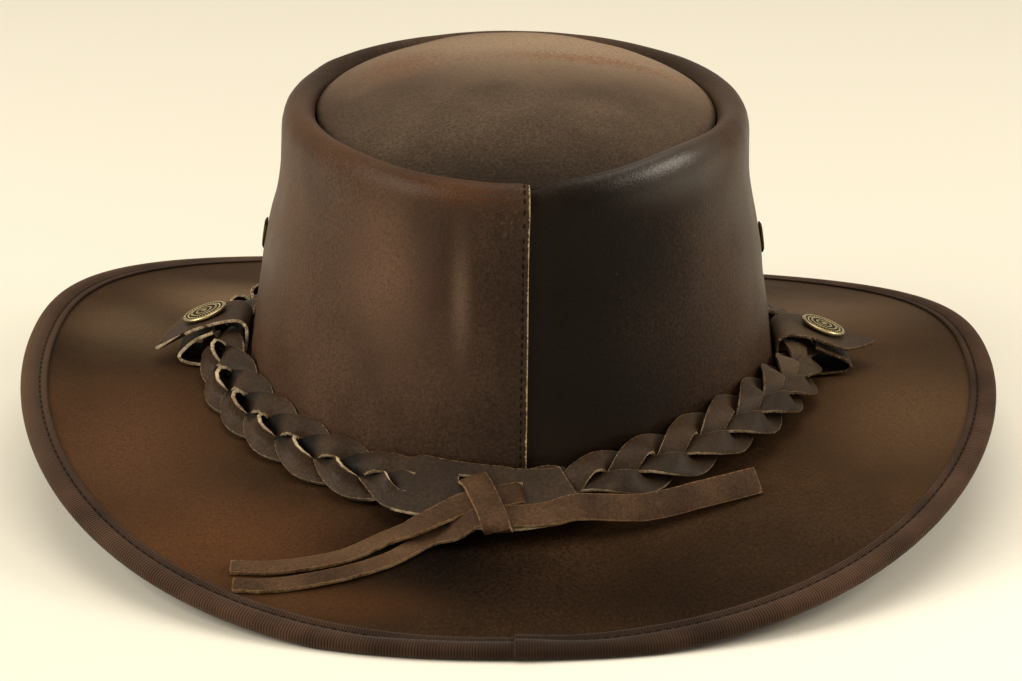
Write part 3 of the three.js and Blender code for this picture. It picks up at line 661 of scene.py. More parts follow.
@dataclass(frozen=True)
class Leather:
    """Grain side of waxed pull-up leather: a soft sheen, fine nap and pores, paler and redder wear,
    and painted light and shade where its patches, its darker start and its hollows put them.

    The pores and the nap are drawn a few times as coarse as real ones, so that they show.
    """

    name: str
    base: str
    shade: str
    roughness: float
    smoother: float = 0.07
    rougher: float = 0.09
    shine: float = 0.3
    grain_mm: float = 0.9
    grain_depth_mm: float = 0.05
    nap_mm: float = 0.42
    speck_mm: float = 1.0
    fleck_dark: float = 0.55
    fleck_pale: float = 1.5
    blotch_mm: float = 38
    patches: tuple[Patch, ...] = ()
    margin: str = "#8a7355"
    margin_mm: float = 0.0
    margin_strength: float = 0.6
    # Share of the colour lost to painted shade where the mesh's depth is full.
    hollow: float = 0.0
    # Darker colour toward the start of a panel's run: a darker hide beside the seam, and painted shade.
    start_shade: str = "#1b120b"
    start_shade_mm: float = 0.0
    start_uneven_mm: float = 9.0
    polish: Patch | None = None
    polish_shine: float = 0.9
    polish_roughness: float = 0.34

    def build(self) -> Material:
        """Builds the grain side.

        Returns:
            The material.
        """
        material, tree, place = started(self.name)
        blotch, speck, nap = [
            add(tree, "TexNoise", {"Vector": place, "Scale": 1 / (size * MM), "Detail": detail,
                                   "Roughness": rough})
            for size, detail, rough in (
                (self.blotch_mm, 4.0, 0.5), (self.speck_mm, 5.0, 0.6), (self.nap_mm, 3.0, 0.7))]
        uneven = add(tree, "Math", {0: nap, 1: speck}, operation="ADD")
        fleck = add(tree, "MapRange", {0: uneven, 1: 0.7, 2: 1.3, 3: self.fleck_dark, 4: self.fleck_pale})
        colour = layered(tree, linear(self.shade), self.layers(tree, place, blotch, speck))
        colour = add(tree, "VectorMath", {0: colour, 1: fleck}, operation="MULTIPLY")
        # Painted shade in the braid's hollows.
        if self.hollow:
            colour = darkened(tree, colour, 1.0, self.hollow)
        pores = add(tree, "TexVoronoi", {"Vector": place, "Scale": 1 / (self.grain_mm * MM)}, "Distance",
                    feature="F1")
        pore = add(tree, "MapRange", {0: pores, 1: 0.1, 2: 0.6, 3: 1.0, 4: 0.0})
        height = add(tree, "Math", {0: pore, 1: uneven}, operation="ADD")
        relief = add(tree, "Bump", {"Height": height, "Distance": self.grain_depth_mm * MM, "Strength": 0.8})
        rough = add(tree, "MapRange", {0: blotch, 1: NOISE_LOW, 2: NOISE_HIGH,
                                       3: self.roughness - self.smoother,
                                       4: self.roughness + self.rougher})
        shine = self.shine
        if self.polish:
            rubbed = self.polish.fade(tree, place, speck)
            shine = add(tree, "MapRange", {0: rubbed, 3: shine, 4: self.polish_shine})
            rough = add(tree, "Mix", {0: rubbed, 2: rough, 3: self.polish_roughness})
        return shaded(material, {"Base Color": colour, "Roughness": rough, "Normal": relief,
                                 "Specular IOR Level": shine})

    def layers(self, tree: Tree, place: Socket, blotch: Socket, speck: Socket) -> list[tuple[Socket, str]]:
        """Colours laid over the shade, from the base to the rubbed margin.

        Args:
            tree: the material's tree.
            place: the point in the frame.
            blotch: broad noise that mottles the hide.
            speck: fine noise that breaks up the rims of the layers.

        Returns:
            The share and the hex code of each one.
        """
        mottle = add(tree, "MapRange", {0: blotch, 1: 0.35, 2: 0.68})
        layers = [(mottle, self.base)]
        if self.start_shade_mm:
            layers.append((self.toward_start(tree, speck), self.start_shade))
        layers += [patch.layer(tree, place, speck) for patch in self.patches]
        if self.margin_mm:
            layers.append((self.frayed(tree, speck), self.margin))
        return layers

    def frayed(self, tree: Tree, speck: Socket) -> Socket:
        """Share of bare, rubbed leather along a sheet's cut edges.

        Args:
            tree: the material's tree.
            speck: fine noise that breaks it up.

        Returns:
            The share.
        """
        edge = add(tree, "Attribute", out="Fac", attribute_name=EDGE_LAYER)
        near = add(tree, "MapRange", {0: edge, 1: 0.0, 2: self.margin_mm, 3: 0.6, 4: 0.0})
        rough = add(tree, "Math", {0: near, 1: speck}, operation="ADD")
        return add(tree, "MapRange", {0: rough, 1: 0.72, 2: 1.0, 3: 0.0, 4: self.margin_strength})

    def toward_start(self, tree: Tree, speck: Socket) -> Socket:
        """Share of the darker colour toward the start of the panel's own run: a darker hide beside
        the seam, and painted shade over the wall's right side.

        Args:
            tree: the material's tree.
            speck: fine noise that breaks it up.

        Returns:
            The share.
        """
        run = add(tree, "SeparateXYZ", {0: add(tree, "UVMap")})
        uneven = add(tree, "MapRange", {0: speck, 1: NOISE_LOW, 2: NOISE_HIGH,
                                        3: -self.start_uneven_mm, 4: self.start_uneven_mm})
        moved = add(tree, "Math", {0: run, 1: uneven}, operation="ADD")
        return add(tree, "MapRange", {0: moved, 1: 0.25 * self.start_shade_mm, 2: self.start_shade_mm,
                                      3: 0.95, 4: 0.0}, interpolation_type="SMOOTHSTEP")


@dataclass(frozen=True)
class Suede:
    """Flesh side or raw cut edge of leather: matte, napped and paler than the grain."""

    name: str
    base: str
    shade: str
    nap_mm: float = 0.5
    drift_mm: float = 4.0
    relief_mm: float = 0.15
    # Share of the colour lost to painted shade on the braid's lobe edges.
    outer_shade: float = 0.0
    patches: tuple[Patch, ...] = ()

    def build(self) -> Material:
        """Builds the napped surface.

        Returns:
            The material.
        """
        material, tree, place = started(self.name)
        nap = add(tree, "TexNoise", {"Vector": place, "Scale": 1 / (self.nap_mm * MM), "Detail": 4.0})
        drift = add(tree, "TexNoise", {"Vector": place, "Scale": 1 / (self.drift_mm * MM), "Detail": 2.0})
        mixed = add(tree, "Math", {0: nap, 1: drift}, operation="ADD")
        share = add(tree, "MapRange", {0: mixed, 1: 0.75, 2: 1.2})
        layers = [(share, self.base)] + [patch.layer(tree, place, nap) for patch in self.patches]
        colour = layered(tree, linear(self.shade), layers)
        # Painted shade on the cut edges where the mesh's depth falls below 0.
        if self.outer_shade:
            colour = darkened(tree, colour, -1.0, self.outer_shade)
        relief = add(tree, "Bump", {"Height": nap, "Distance": self.relief_mm * MM, "Strength": 0.7})
        return shaded(material, {"Base Color": colour, "Roughness": 0.92, "Normal": relief,
                                 "Specular IOR Level": 0.06})


@dataclass(frozen=True)
class Ribbon:
    """Woven grosgrain ribbon: matte cross ribs, raised, whose lit tops and shaded gaps are also painted into
    the colour.
    """

    name: str = "grosgrain_ribbon"
    base: str = "#5a4233"
    shade: str = "#150d09"
    rib_mm: float = 0.9
    thread_mm: float = 0.35
    thread_share: float = 0.3
    dust_mm: float = 18
    groove_mm: float = 5.2
    groove_width_mm: float = 1.0
    relief_mm: float = 0.08
    patches: tuple[Patch, ...] = (
        Patch("#1c1109", (14, -182, 2), (120, 44, 30), 0.75, 0.15),
        # Painted light where the ribs face the left lamp.
        Patch("#7a6450", (-158, -30, 26), (60, 100, 40), 0.22, 0.15),
    )

    def build(self) -> Material:
        """Builds the ribbon, with its ribs across the run of its own UV map.

        Returns:
            The material.
        """
        material, tree, place = started(self.name)
        run = add(tree, "SeparateXYZ", {0: add(tree, "UVMap")})
        across = run.node.outputs[1]
        ribs = add(tree, "Math", {0: run, 1: TAU / self.rib_mm}, operation="MULTIPLY")
        rib = add(tree, "Math", {0: ribs}, operation="COSINE")
        threads = add(tree, "Math", {0: across, 1: TAU / self.thread_mm}, operation="MULTIPLY")
        thread = add(tree, "Math", {0: threads}, operation="SINE")
        fine = add(tree, "Math", {0: thread, 1: self.thread_share}, operation="MULTIPLY")
        woven = add(tree, "Math", {0: rib, 1: fine}, operation="ADD")
        dust = add(tree, "TexNoise", {"Vector": place, "Scale": 1 / (self.dust_mm * MM), "Detail": 4.0})
        # Painted light on the ribs' tops and painted shade in the gaps between them, with the fine weave.
        level = add(tree, "MapRange", {0: woven, 1: -1 - self.thread_share, 2: 1 + self.thread_share,
                                       3: -0.45, 4: 0.4})
        share = add(tree, "Math", {0: level, 1: dust}, operation="ADD", use_clamp=True)
        colour = layered(tree, linear(self.shade), [(share, self.base)])
        # Painted shade in the sewn groove and on the flap inside it.
        kept = self.kept(tree, across)
        colour = add(tree, "VectorMath", {0: colour, 1: kept}, operation="MULTIPLY")
        colour = layered(tree, colour, [patch.layer(tree, place, dust) for patch in self.patches])
        relief = add(tree, "Bump", {"Height": woven, "Distance": self.relief_mm * MM, "Strength": 0.6})
        return shaded(material, {"Base Color": colour, "Roughness": 0.8, "Normal": relief,
                                 "Specular IOR Level": 0.1, "Sheen Weight": 0.12, "Sheen Roughness": 0.4})

    def kept(self, tree: Tree, across: Socket) -> Socket:
        """Painted shade of the sewn groove and of the flap inside it: the share of the light that they keep.

        Args:
            tree: the material's tree.
            across: distance from the ribbon's upper inner edge in millimetres.

        Returns:
            The share.
        """
        off = add(tree, "Math", {0: across, 1: self.groove_mm}, operation="SUBTRACT")
        near = add(tree, "Math", {0: off}, operation="ABSOLUTE")
        pressed = add(tree, "MapRange", {0: near, 1: 0.1, 2: self.groove_width_mm, 3: 0.3, 4: 1.0})
        flap = add(tree, "MapRange", {0: off, 1: -1.0, 2: 1.0, 3: 0.75, 4: 1.0})
        return add(tree, "Math", {0: pressed, 1: flap}, operation="MULTIPLY")


@dataclass(frozen=True)
class Thread:
    """Waxed sewing thread: dark, twisted, with a dull sheen."""

    name: str = "waxed_thread"
    base: str = "#170e08"
    shade: str = "#0b0704"
    twist_mm: float = 6.0

    def build(self) -> Material:
        """Builds the thread.

        Returns:
            The material.
        """
        material, tree, place = started(self.name)
        twist = add(tree, "TexWave", {"Vector": place, "Scale": 1 / (self.twist_mm * MM)},
                    "Fac", bands_direction="DIAGONAL")
        colour = layered(tree, linear(self.shade), [(twist, self.base)])
        return shaded(material, {"Base Color": colour, "Roughness": 0.7, "Specular IOR Level": 0.1})


@dataclass(frozen=True)
class AntiqueBrass:
    """Plated and darkened brass: worn bright on the high places, brown-green in the hollows."""

    name: str
    base: str = "#413d25"
    patina: str = "#2a2616"
    worn: float = 0.5
    uneven: float = 0.4
    stain_mm: float = 1.6
    rough_dark: float = 0.66
    rough_worn: float = 0.46

    def build(self) -> Material:
        """Builds the metal.

        Returns:
            The material.
        """
        material, tree, place = started(self.name)
        stain = add(tree, "TexNoise", {"Vector": place, "Scale": 1 / (self.stain_mm * MM), "Detail": 5.0})
        share = add(tree, "MapRange", {0: stain, 1: 0.32, 2: 0.66, 3: self.worn - self.uneven,
                                       4: self.worn + self.uneven})
        rough = add(tree, "MapRange", {0: stain, 1: NOISE_LOW, 2: NOISE_HIGH, 3: self.rough_dark,
                                       4: self.rough_worn})
        colour = layered(tree, linear(self.patina), [(share, self.base)])
        return shaded(material, {"Base Color": colour, "Roughness": rough, "Metallic": 1.0})


class Finish(Enum):
    """Finishes of the hat's pieces."""

    # Waxed hide of the wall: dark red-brown with a soft sheen, warm at the left from rubbed wear and
    # painted light, nearly black beside the seam from a darker hide and painted shade, with painted
    # shade at its foot, on its right and on its rim's tops, a painted highlight streak left of the seam
    # and one wet-looking highlight on the right shoulder from a glossier spot.
    CROWN = Leather("waxed_leather_crown", "#4c392d", "#37281f", 0.4, shine=0.1, margin_mm=0.8,
                    margin="#c3ae8e", margin_strength=0.8, start_shade="#0d0805", start_shade_mm=140,
                    polish=Patch("", (48, -76, 118), (56, 32, 17), 0.7, 0.15), patches=(
        # Painted light on the left wall where it faces the left lamp, and a painted highlight streak.
        Patch("#6b5140", (-38, -86, 86), (20, 30, 44), 0.5, 0.25),
        Patch("#77624f", (-16.5, -101, 82), (4.5, 30, 28), 0.45, 0.4),
        # Warmer left flank: pull-up wear, with painted light from the left.
        Patch("#66472f", (-88, -40, 78), (46, 60, 70), 0.25, 0.15),
        Patch("#1c130c", (-1, -104, 72), (14, 22, 80), 0.6, 0.15),
        Patch("#241911", (-18, -98, 104), (30, 24, 30), 0.3, 0.15),
        # Painted shade on the right panel, then at the wall's foot behind the braid.
        Patch("#110b07", (36, -88, 92), (36, 28, 28), 0.8, 0.15),
        Patch("#241911", (-8, -104, 24), (70, 50, 30), 0.65, 0.15),
        Patch("#432c1c", (-50, -62, 118), (46, 66, 17), 0.5, 0.5),
        # Painted shade on the rim's tops at the back and on the far side.
        Patch("#1f150d", (-2, -86, 117), (52, 22, 9), 0.6, 0.3),
        Patch("#1c130c", (-54, 50, 118), (44, 66, 16), 0.75, 0.2),
        Patch("#1c130c", (58, 52, 118), (40, 50, 14), 0.6, 0.2),
        Patch("#5a3820", (-22, -97, 113), (24, 20, 6), 0.6, 0.9),
        Patch("#5f452a", (-62, -62, 121), (34, 46, 7), 0.55, 0.8),
    ))
    # Buffed hide of the top: dry and greyer, with a painted sheen toward its far end, painted shade toward
    # its near end, darker toward its left, and rusty scuffs.
    TIP = Leather("buffed_leather_tip", "#57493d", "#483b31", 0.66, shine=0.08, blotch_mm=26, patches=(
        # Painted sheen toward the far end, and painted shade toward the near end.
        Patch("#97826e", (18, 34, 122), (120, 68, 34), 0.9, 0.1),
        Patch("#1a120b", (-6, -88, 112), (108, 56, 24), 0.9, 0.08),
        Patch("#2c2118", (-70, -20, 114), (30, 56, 24), 0.4, 0.08),
        Patch("#6b3d25", (-36, 8, 122), (20, 22, 16), 0.45, 0.9),
        Patch("#74452c", (26, 10, 124), (44, 7, 14), 0.55, 0.9),
    ))
    # Waxed hide of the brim: tan at the near sides from rubbed wear and painted light, a painted grazing
    # sheen on the far sides, and painted shade at the back, nearly black under the lace.
    BRIM = Leather("waxed_leather_brim", "#412f20", "#2e2115", 0.56, shine=0.03, patches=(
        # Paler tan at the near left: rubbed wear, with painted light from the left.
        Patch("#5a3e2a", (-118, -72, 24), (50, 76, 40), 0.8, 0.15),
        Patch("#543621", (-84, -132, 18), (66, 40, 30), 0.8, 0.2),
        # Painted shade across the back, nearly black where the lace casts its shadow.
        Patch("#1a1009", (36, -156, 10), (110, 44, 30), 0.82, 0.08),
        Patch("#070403", (-22, -136, 12), (54, 42, 40), 0.97, 0.08),
        Patch("#583820", (-48, -159, 8), (36, 14, 14), 0.4, 0.3),
        Patch("#281e16", (80, -132, 16), (54, 30, 26), 0.55, 0.08),
        # Paler tan at the near right: rubbed wear, with painted light from the right.
        Patch("#5e4834", (128, -46, 28), (50, 74, 30), 0.75, 0.2),
        # Painted grazing sheen on the far sides.
        Patch("#7a6751", (-128, 16, 28), (34, 40, 30), 0.4, 0.2),
        Patch("#826d56", (-92, 62, 26), (48, 46, 30), 0.8, 0.2),
        Patch("#675340", (110, 60, 26), (60, 66, 30), 0.75, 0.2),
    ))
    # Softer hide of the strips and keepers: matt brown-grey, with painted shade in the braid's hollows.
    STRAP = Leather("latigo_leather", "#403125", "#2d2219", 0.5, shine=0.16, blotch_mm=16,
                    margin="#8f7757", margin_mm=0.4, hollow=0.95, patches=(
        Patch("#65543f", (88, -26, 34), (34, 44, 34), 0.6, 0.15),
        Patch("#47331f", (54, -88, 26), (42, 32, 24), 0.5, 0.2),
        Patch("#261c15", (-24, -112, 28), (50, 24, 26), 0.7, 0.2),
    ))
    # Softer hide of the lace: a shade warmer than the strap it ties.
    LACE = Leather("latigo_lace", "#4f3b2b", "#38281b", 0.62, shine=0.1, blotch_mm=14, margin="#83664a",
                   margin_mm=0.5, margin_strength=0.5, patches=(
        Patch("#6f563f", (-52, -135, 16), (44, 13, 12), 0.4, 0.2),
    ))
    # Napped back of the hide, seen inside the crown and under the brim: no sheen at all.
    FLESH = Suede("leather_flesh_side", "#40332a", "#261c15")
    # Back of the keepers' hide, painted near black as the shade inside their loops.
    KEEPER_SHADED_LINING = Suede("keeper_flesh_side_shaded", "#1a130e", "#0d0906")
    # Cut through the undyed core: cream line along the strips, bright at the left, dull at the right,
    # with painted shade on the brim-side edges of the lobes at the left.
    RAW_EDGE = Suede("leather_raw_edge", "#e0cfb2", "#8a745a", nap_mm=0.7, outer_shade=0.85, patches=(
        Patch("#4d3c2b", (120, -20, 30), (150, 130, 80), 1.0, 0.3),
        Patch("#4d3c2b", (-80, 90, 30), (110, 110, 80), 1.0, 0.3),
    ))
    # Cut edge of the lace: fuzzy tan.
    LACE_EDGE = Suede("lace_raw_edge", "#a88e6c", "#54412e", nap_mm=0.6)
    # Cut edge of the tip and brim, dyed with the hide: dark, so that no pale line shows there.
    DARK_EDGE = Suede("leather_dark_edge", "#3a2b1f", "#20170f", nap_mm=0.7)
    # Grosgrain round the brim: matt brown cross ribs like a cord, nearly black at the back.
    RIBBON = Ribbon()
    # Waxed thread: short dark dashes beside the crown's seam and in the ribbon's groove.
    THREAD = Thread()
    # Snap caps' plating: dull gold-green on the high rings.
    BRASS = AntiqueBrass("antique_brass", worn=0.35)
    # Hollows of the caps: darker, so that the rings stand out.
    PATINA = AntiqueBrass("antique_brass_hollow", worn=0.22)
    # Eyelets' browned brass: nearly the leather's colour, with a metal glint.
    BROWNED = AntiqueBrass("browned_brass", base="#4c3a22", patina="#1f1710", worn=0.35)

    def material(self) -> Material:
        """The finish's material, built once."""
        found = bpy.data.materials.get(self.value.name)
        return found or self.value.build()


def walls_of(*finishes: Finish) -> list[Material]:
    """Materials of a wall's upper face, lower face and cut edge."""
    return [finish.material() for finish in finishes]


def ripple(point: Vector, wave: float, depth: float) -> float:
    """Soft unevenness of leather at a point, of a wave length and a depth in millimetres."""
    return depth * noise.noise(point / wave)


@dataclass(frozen=True)
class Unevenness:
    """A hide's broad and fine waves, each as wave length and depth, in millimetres."""

    broad: Pair
    fine: Pair
    fine_shift: Triple

    def lift(self, point: Vector) -> float:
        """Lift of the hide at a point."""
        return ripple(point, *self.broad) + ripple(point + Vector(self.fine_shift), *self.fine)


def seat_of(point: Vector, along: Vector, normal: Vector) -> Matrix:
    """Seat with its x axis along a run and its z axis out of a face.

    Args:
        point: where it is.
        along: direction of the run.
        normal: outward direction of the face, nearly square to the run.

    Returns:
        The placement.
    """
    side = normal.cross(along).normalized()
    up = along.cross(side).normalized()
    return Matrix.Translation(point) @ Matrix((along.normalized(), side, up)).transposed().to_4x4()


def seam_seats(path: Callable[[float], Vector], normal: Callable[[float], Vector],
               spots: Sequence[float], proud: float) -> list[Matrix]:
    """Seats of a row of stitches.

    Args:
        path: gives the face's point at a place along the row.
        normal: gives the face's outward normal there.
        spots: the stitches' places along the row.
        proud: how far they stand out of the face in millimetres.

    Returns:
        One seat for each stitch.
    """
    seats = []
    for spot in spots:
        along = (path(spot + STEP) - path(spot - STEP)).normalized()
        out = normal(spot)
        seats.append(seat_of(path(spot) + out * proud, along, out))
    return seats


def turned(profile: Sequence[Pair], steps: int, closed: bool) -> bmesh.types.BMesh:
    """Turns a profile round the z axis.

    Args:
        profile: radius and height of each corner in millimetres.
        steps: number of faces round the axis.
        closed: whether the last corner is joined to the first.

    Returns:
        The turned mesh, with its doubles merged.
    """
    mesh = bmesh.new()
    corners = [mesh.verts.new((radius, 0, height)) for radius, height in profile]
    ends = corners[1:] + corners[:1] if closed else corners[1:]
    edges = [mesh.edges.new(pair) for pair in zip(corners, ends)]
    bmesh.ops.spin(mesh, geom=corners + edges, cent=(0, 0, 0), axis=(0, 0, 1), dvec=(0, 0, 0),
                   angle=TAU, steps=steps, use_merge=True, use_duplicate=False)
    bmesh.ops.remove_doubles(mesh, verts=mesh.verts[:], dist=MERGE_MM)
    return mesh


def set_metal(mesh: bmesh.types.BMesh, seat: Matrix, name: str, node: str, *finishes: Finish) -> None:
    """Sets a turned metal part on the hat.

    Args:
        mesh: the part round its own z axis in millimetres.
        seat: its placement in the hat's own millimetres.
        name: what the piece is called.
        node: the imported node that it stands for.
        finishes: its finishes, by the faces' numbers.
    """
    bmesh.ops.recalc_face_normals(mesh, faces=mesh.faces[:])
    bmesh.ops.transform(mesh, matrix=seat, verts=mesh.verts[:])
    for vert in mesh.verts:
        vert.co = in_frame(vert.co)
    seated(made_object(name, mesh, walls_of(*finishes)), "antique_brass", node)


@dataclass(frozen=True)
class CrownPanel:
    """Crown wall: one panel round the head, rolled over at the rim and lapped at the back."""

    columns: int = 330
    rows: int = 66
    wall_share: float = 0.76
    roll_share: float = 0.8
    rounding: float = 0.25
    hide: Unevenness = Unevenness((30, 0.6), (11, 0.16), (90, 0, 0))
    stitch_in: float = 2.0
    stitch_pitch: float = 3.1
    stitch_sunk: float = 0.3
    stitch: Stitch = Stitch(1.9, 0.75, 0.6)
    seam_from: float = 0.04
    seam_to: float = 0.9
    groove_width: float = 0.9
    groove_depth: float = 0.35
    edge_round: float = 0.7

    def face(self, turn: float, share: float) -> Vector:
        """Outer face with no seam in it, from the foot (0) over the rim to its lip (1).

        Args:
            turn: angle round the crown.
            share: place between the foot and the lip.

        Returns:
            The point.
        """
        crest = FORM.crest(turn)
        base = FORM.foot_z + FORM.gap
        top = CROWN_TAPER[-2].up
        if share < self.wall_share:
            up = share / self.wall_share * top
            taper = self.tapered(up)
            point = oval(turn, lerp(FORM.head_side, FORM.crown_side, taper),
                         lerp(FORM.head_end, FORM.crown_end, taper))[0]
            point.x += FORM.crown_shift * up
            point.z = base + (FORM.foot(turn) - FORM.foot_z) * (1 - up) + crest * up
            return point
        point, normal = oval(turn, FORM.crown_side - FORM.rim_radius, FORM.crown_end - FORM.rim_radius)
        point.x += FORM.crown_shift
        if share < self.roll_share:
            rise = (share - self.wall_share) / (self.roll_share - self.wall_share)
            low = self.face(turn, self.wall_share - 1e-6)
            high = point + normal * FORM.rim_radius
            high.z = base + crest - FORM.rim_depth
            return low.lerp(high, rise)
        swing = math.pi * (share - self.roll_share) / (1 - self.roll_share)
        lip = FORM.tip_top(turn, 1) - FORM.wall - FORM.gap
        depth = FORM.rim_depth if swing < math.pi / 2 else base + crest - lip
        point += normal * FORM.rim_radius * math.cos(swing)
        point.z = base + crest + depth * (math.sin(swing) - 1)
        return point

    @staticmethod
    def tapered(up: float) -> float:
        """Share of the taper at a share of the height, eased between the table's rows.

        Args:
            up: share of the height.

        Returns:
            Mean of the taper at five places about it.
        """
        step = 0.035
        places = [min(max(up + step * k, 0), 1) for k in (-2, -1, 0, 1, 2)]
        near = [between(CROWN_TAPER, "up", place, "taper") for place in places]
        return near[2] if up < 2 * step else sum(near) / len(near)

    def normal(self, turn: float, share: float) -> Vector:
        """Outward normal of the face.

        Args:
            turn: angle round the crown.
            share: place between the foot and the lip.

        Returns:
            The unit normal.
        """
        share = min(max(share, STEP), 1 - STEP)
        along = self.face(turn + STEP, share) - self.face(turn - STEP, share)
        up = self.face(turn, share + FINE_STEP) - self.face(turn, share - FINE_STEP)
        return along.cross(up).normalized()

    def place(self, along: float, share: float) -> Vector:
        """Point of the sheet, from its hidden end round to its lapped edge.

        Args:
            along: share of the way round.
            share: place between the foot and the lip.

        Returns:
            The point, sunk where it is lapped and grooved where it is sewn.
        """
        start, edge, eased = FORM.seam_turns()
        turn = lerp(start, edge + TAU, along)
        point = self.face(turn, share)
        calm = smooth(share, 0.03, 0.12) * smooth(1 - share, 0.0, 0.16)
        to_edge = (edge + TAU - turn) * FORM.head_side
        lift = calm * self.hide.lift(point)
        lift *= smooth(to_edge, 2, 20) * smooth(turn, edge, eased + 0.1)
        sunk = (FORM.wall + FORM.gap) * (1 - smooth(turn, edge, eased))
        groove = self.groove_depth * bump(to_edge, self.stitch_in, self.groove_width)
        groove += self.edge_round * bump(to_edge, 0, self.groove_width)
        return point + self.normal(turn, share) * (lift - sunk - groove)

    def build(self) -> None:
        """Builds the panel and the stitches of its back seam."""
        size = (math.pi * (FORM.head_side + FORM.head_end), FORM.crown_height + 2 * FORM.rim_depth)
        sheet = SheetMesh("crown_panel")
        sheet.lay(self.columns, self.rows, self.place, size, CutEdges.END)
        sheet.finish(walls_of(Finish.CROWN, Finish.FLESH, Finish.RAW_EDGE), "crown_leather",
                     "crown_side", wall=Wall(FORM.wall, -1, rounding=self.rounding))
        self.sew()

    def sew(self) -> None:
        """Sews the lap with a row of stitches beside its raw edge."""
        turn = FORM.seam_turns()[1] + TAU - self.stitch_in / FORM.head_side
        count = round((FORM.crown_height + FORM.rim_radius) / self.stitch_pitch)
        spots = [lerp(self.seam_from, self.seam_to, (k + 0.5) / count) for k in range(count)]
        thread = SheetMesh("crown_seam_stitches")
        thread.sew(seam_seats(lambda share: self.face(turn, share), lambda share: self.normal(turn, share),
                              spots, -self.stitch_sunk), self.stitch)
        thread.finish(walls_of(Finish.THREAD), "crown_leather")


@dataclass(frozen=True)
class TipPanel:
    """Crown tip: the sunk oval panel with a high middle."""

    columns: int = 180
    rows: int = 40
    hide: Unevenness = Unevenness((36, 0.9), (13, 0.25), (0, 70, 0))

    def place(self, along: float, share: float) -> Vector:
        """Point of the top face, from the edge (0) to the middle (1).

        Args:
            along: share of the way round.
            share: share of the way in.

        Returns:
            The point.
        """
        turn = along * TAU
        inner = FORM.rim_radius + FORM.gap
        point, normal = oval(turn, FORM.crown_side - FORM.rim_radius, FORM.crown_end - FORM.rim_radius)
        out = 1 - share
        point = (point - normal * inner) * out
        point.x += FORM.crown_shift
        point.z = FORM.tip_top(turn, out)
        point.z += smooth(share, 0, 0.12) * self.hide.lift(point)
        return point

    def build(self) -> None:
        """Builds the panel."""
        size = (TAU * FORM.crown_end, FORM.crown_side)
        sheet = SheetMesh("tip_panel")
        sheet.lay(self.columns, self.rows, self.place, size, CutEdges.NONE)
        sheet.finish(walls_of(Finish.TIP, Finish.FLESH, Finish.DARK_EDGE), "tip_leather", "crown_tip",
                     wall=Wall(FORM.wall, -1, rounding=0))


@dataclass(frozen=True)
class BrimPanel:
    """Brim of one leather sheet, turned up inside the crown as a collar."""

    columns: int = 400
    rows: int = 62
    collar_share: float = 0.14
    foot_share: float = 0.17
    hide: Unevenness = Unevenness((44, 0.8), (14, 0.2), (50, 0, 0))

    @staticmethod
    def collar_room(turn: float) -> float:
        """How far the collar stands in to leave room for the crown's lapped seam.

        Args:
            turn: angle round the collar.

        Returns:
            The extra distance inward in millimetres.
        """
        start, edge, _ = FORM.seam_turns()
        away = abs(math.remainder(turn - (start + edge) / 2, TAU))
        full = (FORM.seam_lap / 2 + FORM.seam_ease) / FORM.head_side
        return (FORM.wall + FORM.gap) * (1 - smooth(away, full, full + 2 * FORM.seam_ease / FORM.head_side))

    def place(self, along: float, share: float) -> Vector:
        """Point of the grain side, from the collar's top (0) down to the foot and out to the edge (1).

        Args:
            along: share of the way round.
            share: share of the way from the collar's top to the edge.

        Returns:
            The point.
        """
        turn = along * TAU
        foot, normal = oval(turn, FORM.head_side, FORM.head_end)
        inset = FORM.wall + FORM.gap + self.collar_room(turn)
        level = FORM.foot(turn)
        if share < self.collar_share:
            up = 1 - share / self.collar_share
            inward = inset + FORM.drawn_in(turn, FORM.collar_height) * up
            point = foot - normal * inward
            point.z = level + FORM.collar_height * up
            return point
        if share < self.foot_share:
            out = (share - self.collar_share) / (self.foot_share - self.collar_share)
            point = foot - normal * inset * (1 - out)
            point.z = level
            return point
        point = FORM.brim_top(turn, (share - self.foot_share) / (1 - self.foot_share))
        calm = smooth(share, 0.3, 0.45) * smooth(1 - share, 0.14, 0.3)
        point.z += calm * self.hide.lift(point)
        return point

    def build(self) -> None:
        """Builds the brim."""
        size = (TAU * (FORM.brim_side + FORM.head_side) / 2, FORM.brim_side - FORM.head_side)
        sheet = SheetMesh("brim_panel")
        sheet.lay(self.columns, self.rows, self.place, size, CutEdges.NONE)
        sheet.turn_over()
        sheet.finish(walls_of(Finish.BRIM, Finish.FLESH, Finish.DARK_EDGE), "brim_leather", "brim",
                     wall=Wall(FORM.wall, -1, rounding=0))


class RibbonRow(NamedTuple):
    """Outer face of the folded ribbon: out from the leather's edge, up from the brim's top face."""

    out: float
    up: float


RIBBON_SECTION = tuple(RibbonRow(*row) for row in (
    (-7.4, 0.5), (-6.9, 0.85), (-6.0, 0.8), (-4.9, 0.35), (-3.6, 1.1), (-1.8, 1.35), (0.2, 0.95),
    (1.05, 0.0), (1.2, -1.0), (1.05, -2.0), (0.2, -2.95), (-1.9, -3.2), (-3.8, -3.2), (-5.6, -3.1),
    (-7.4, -3.05),
))


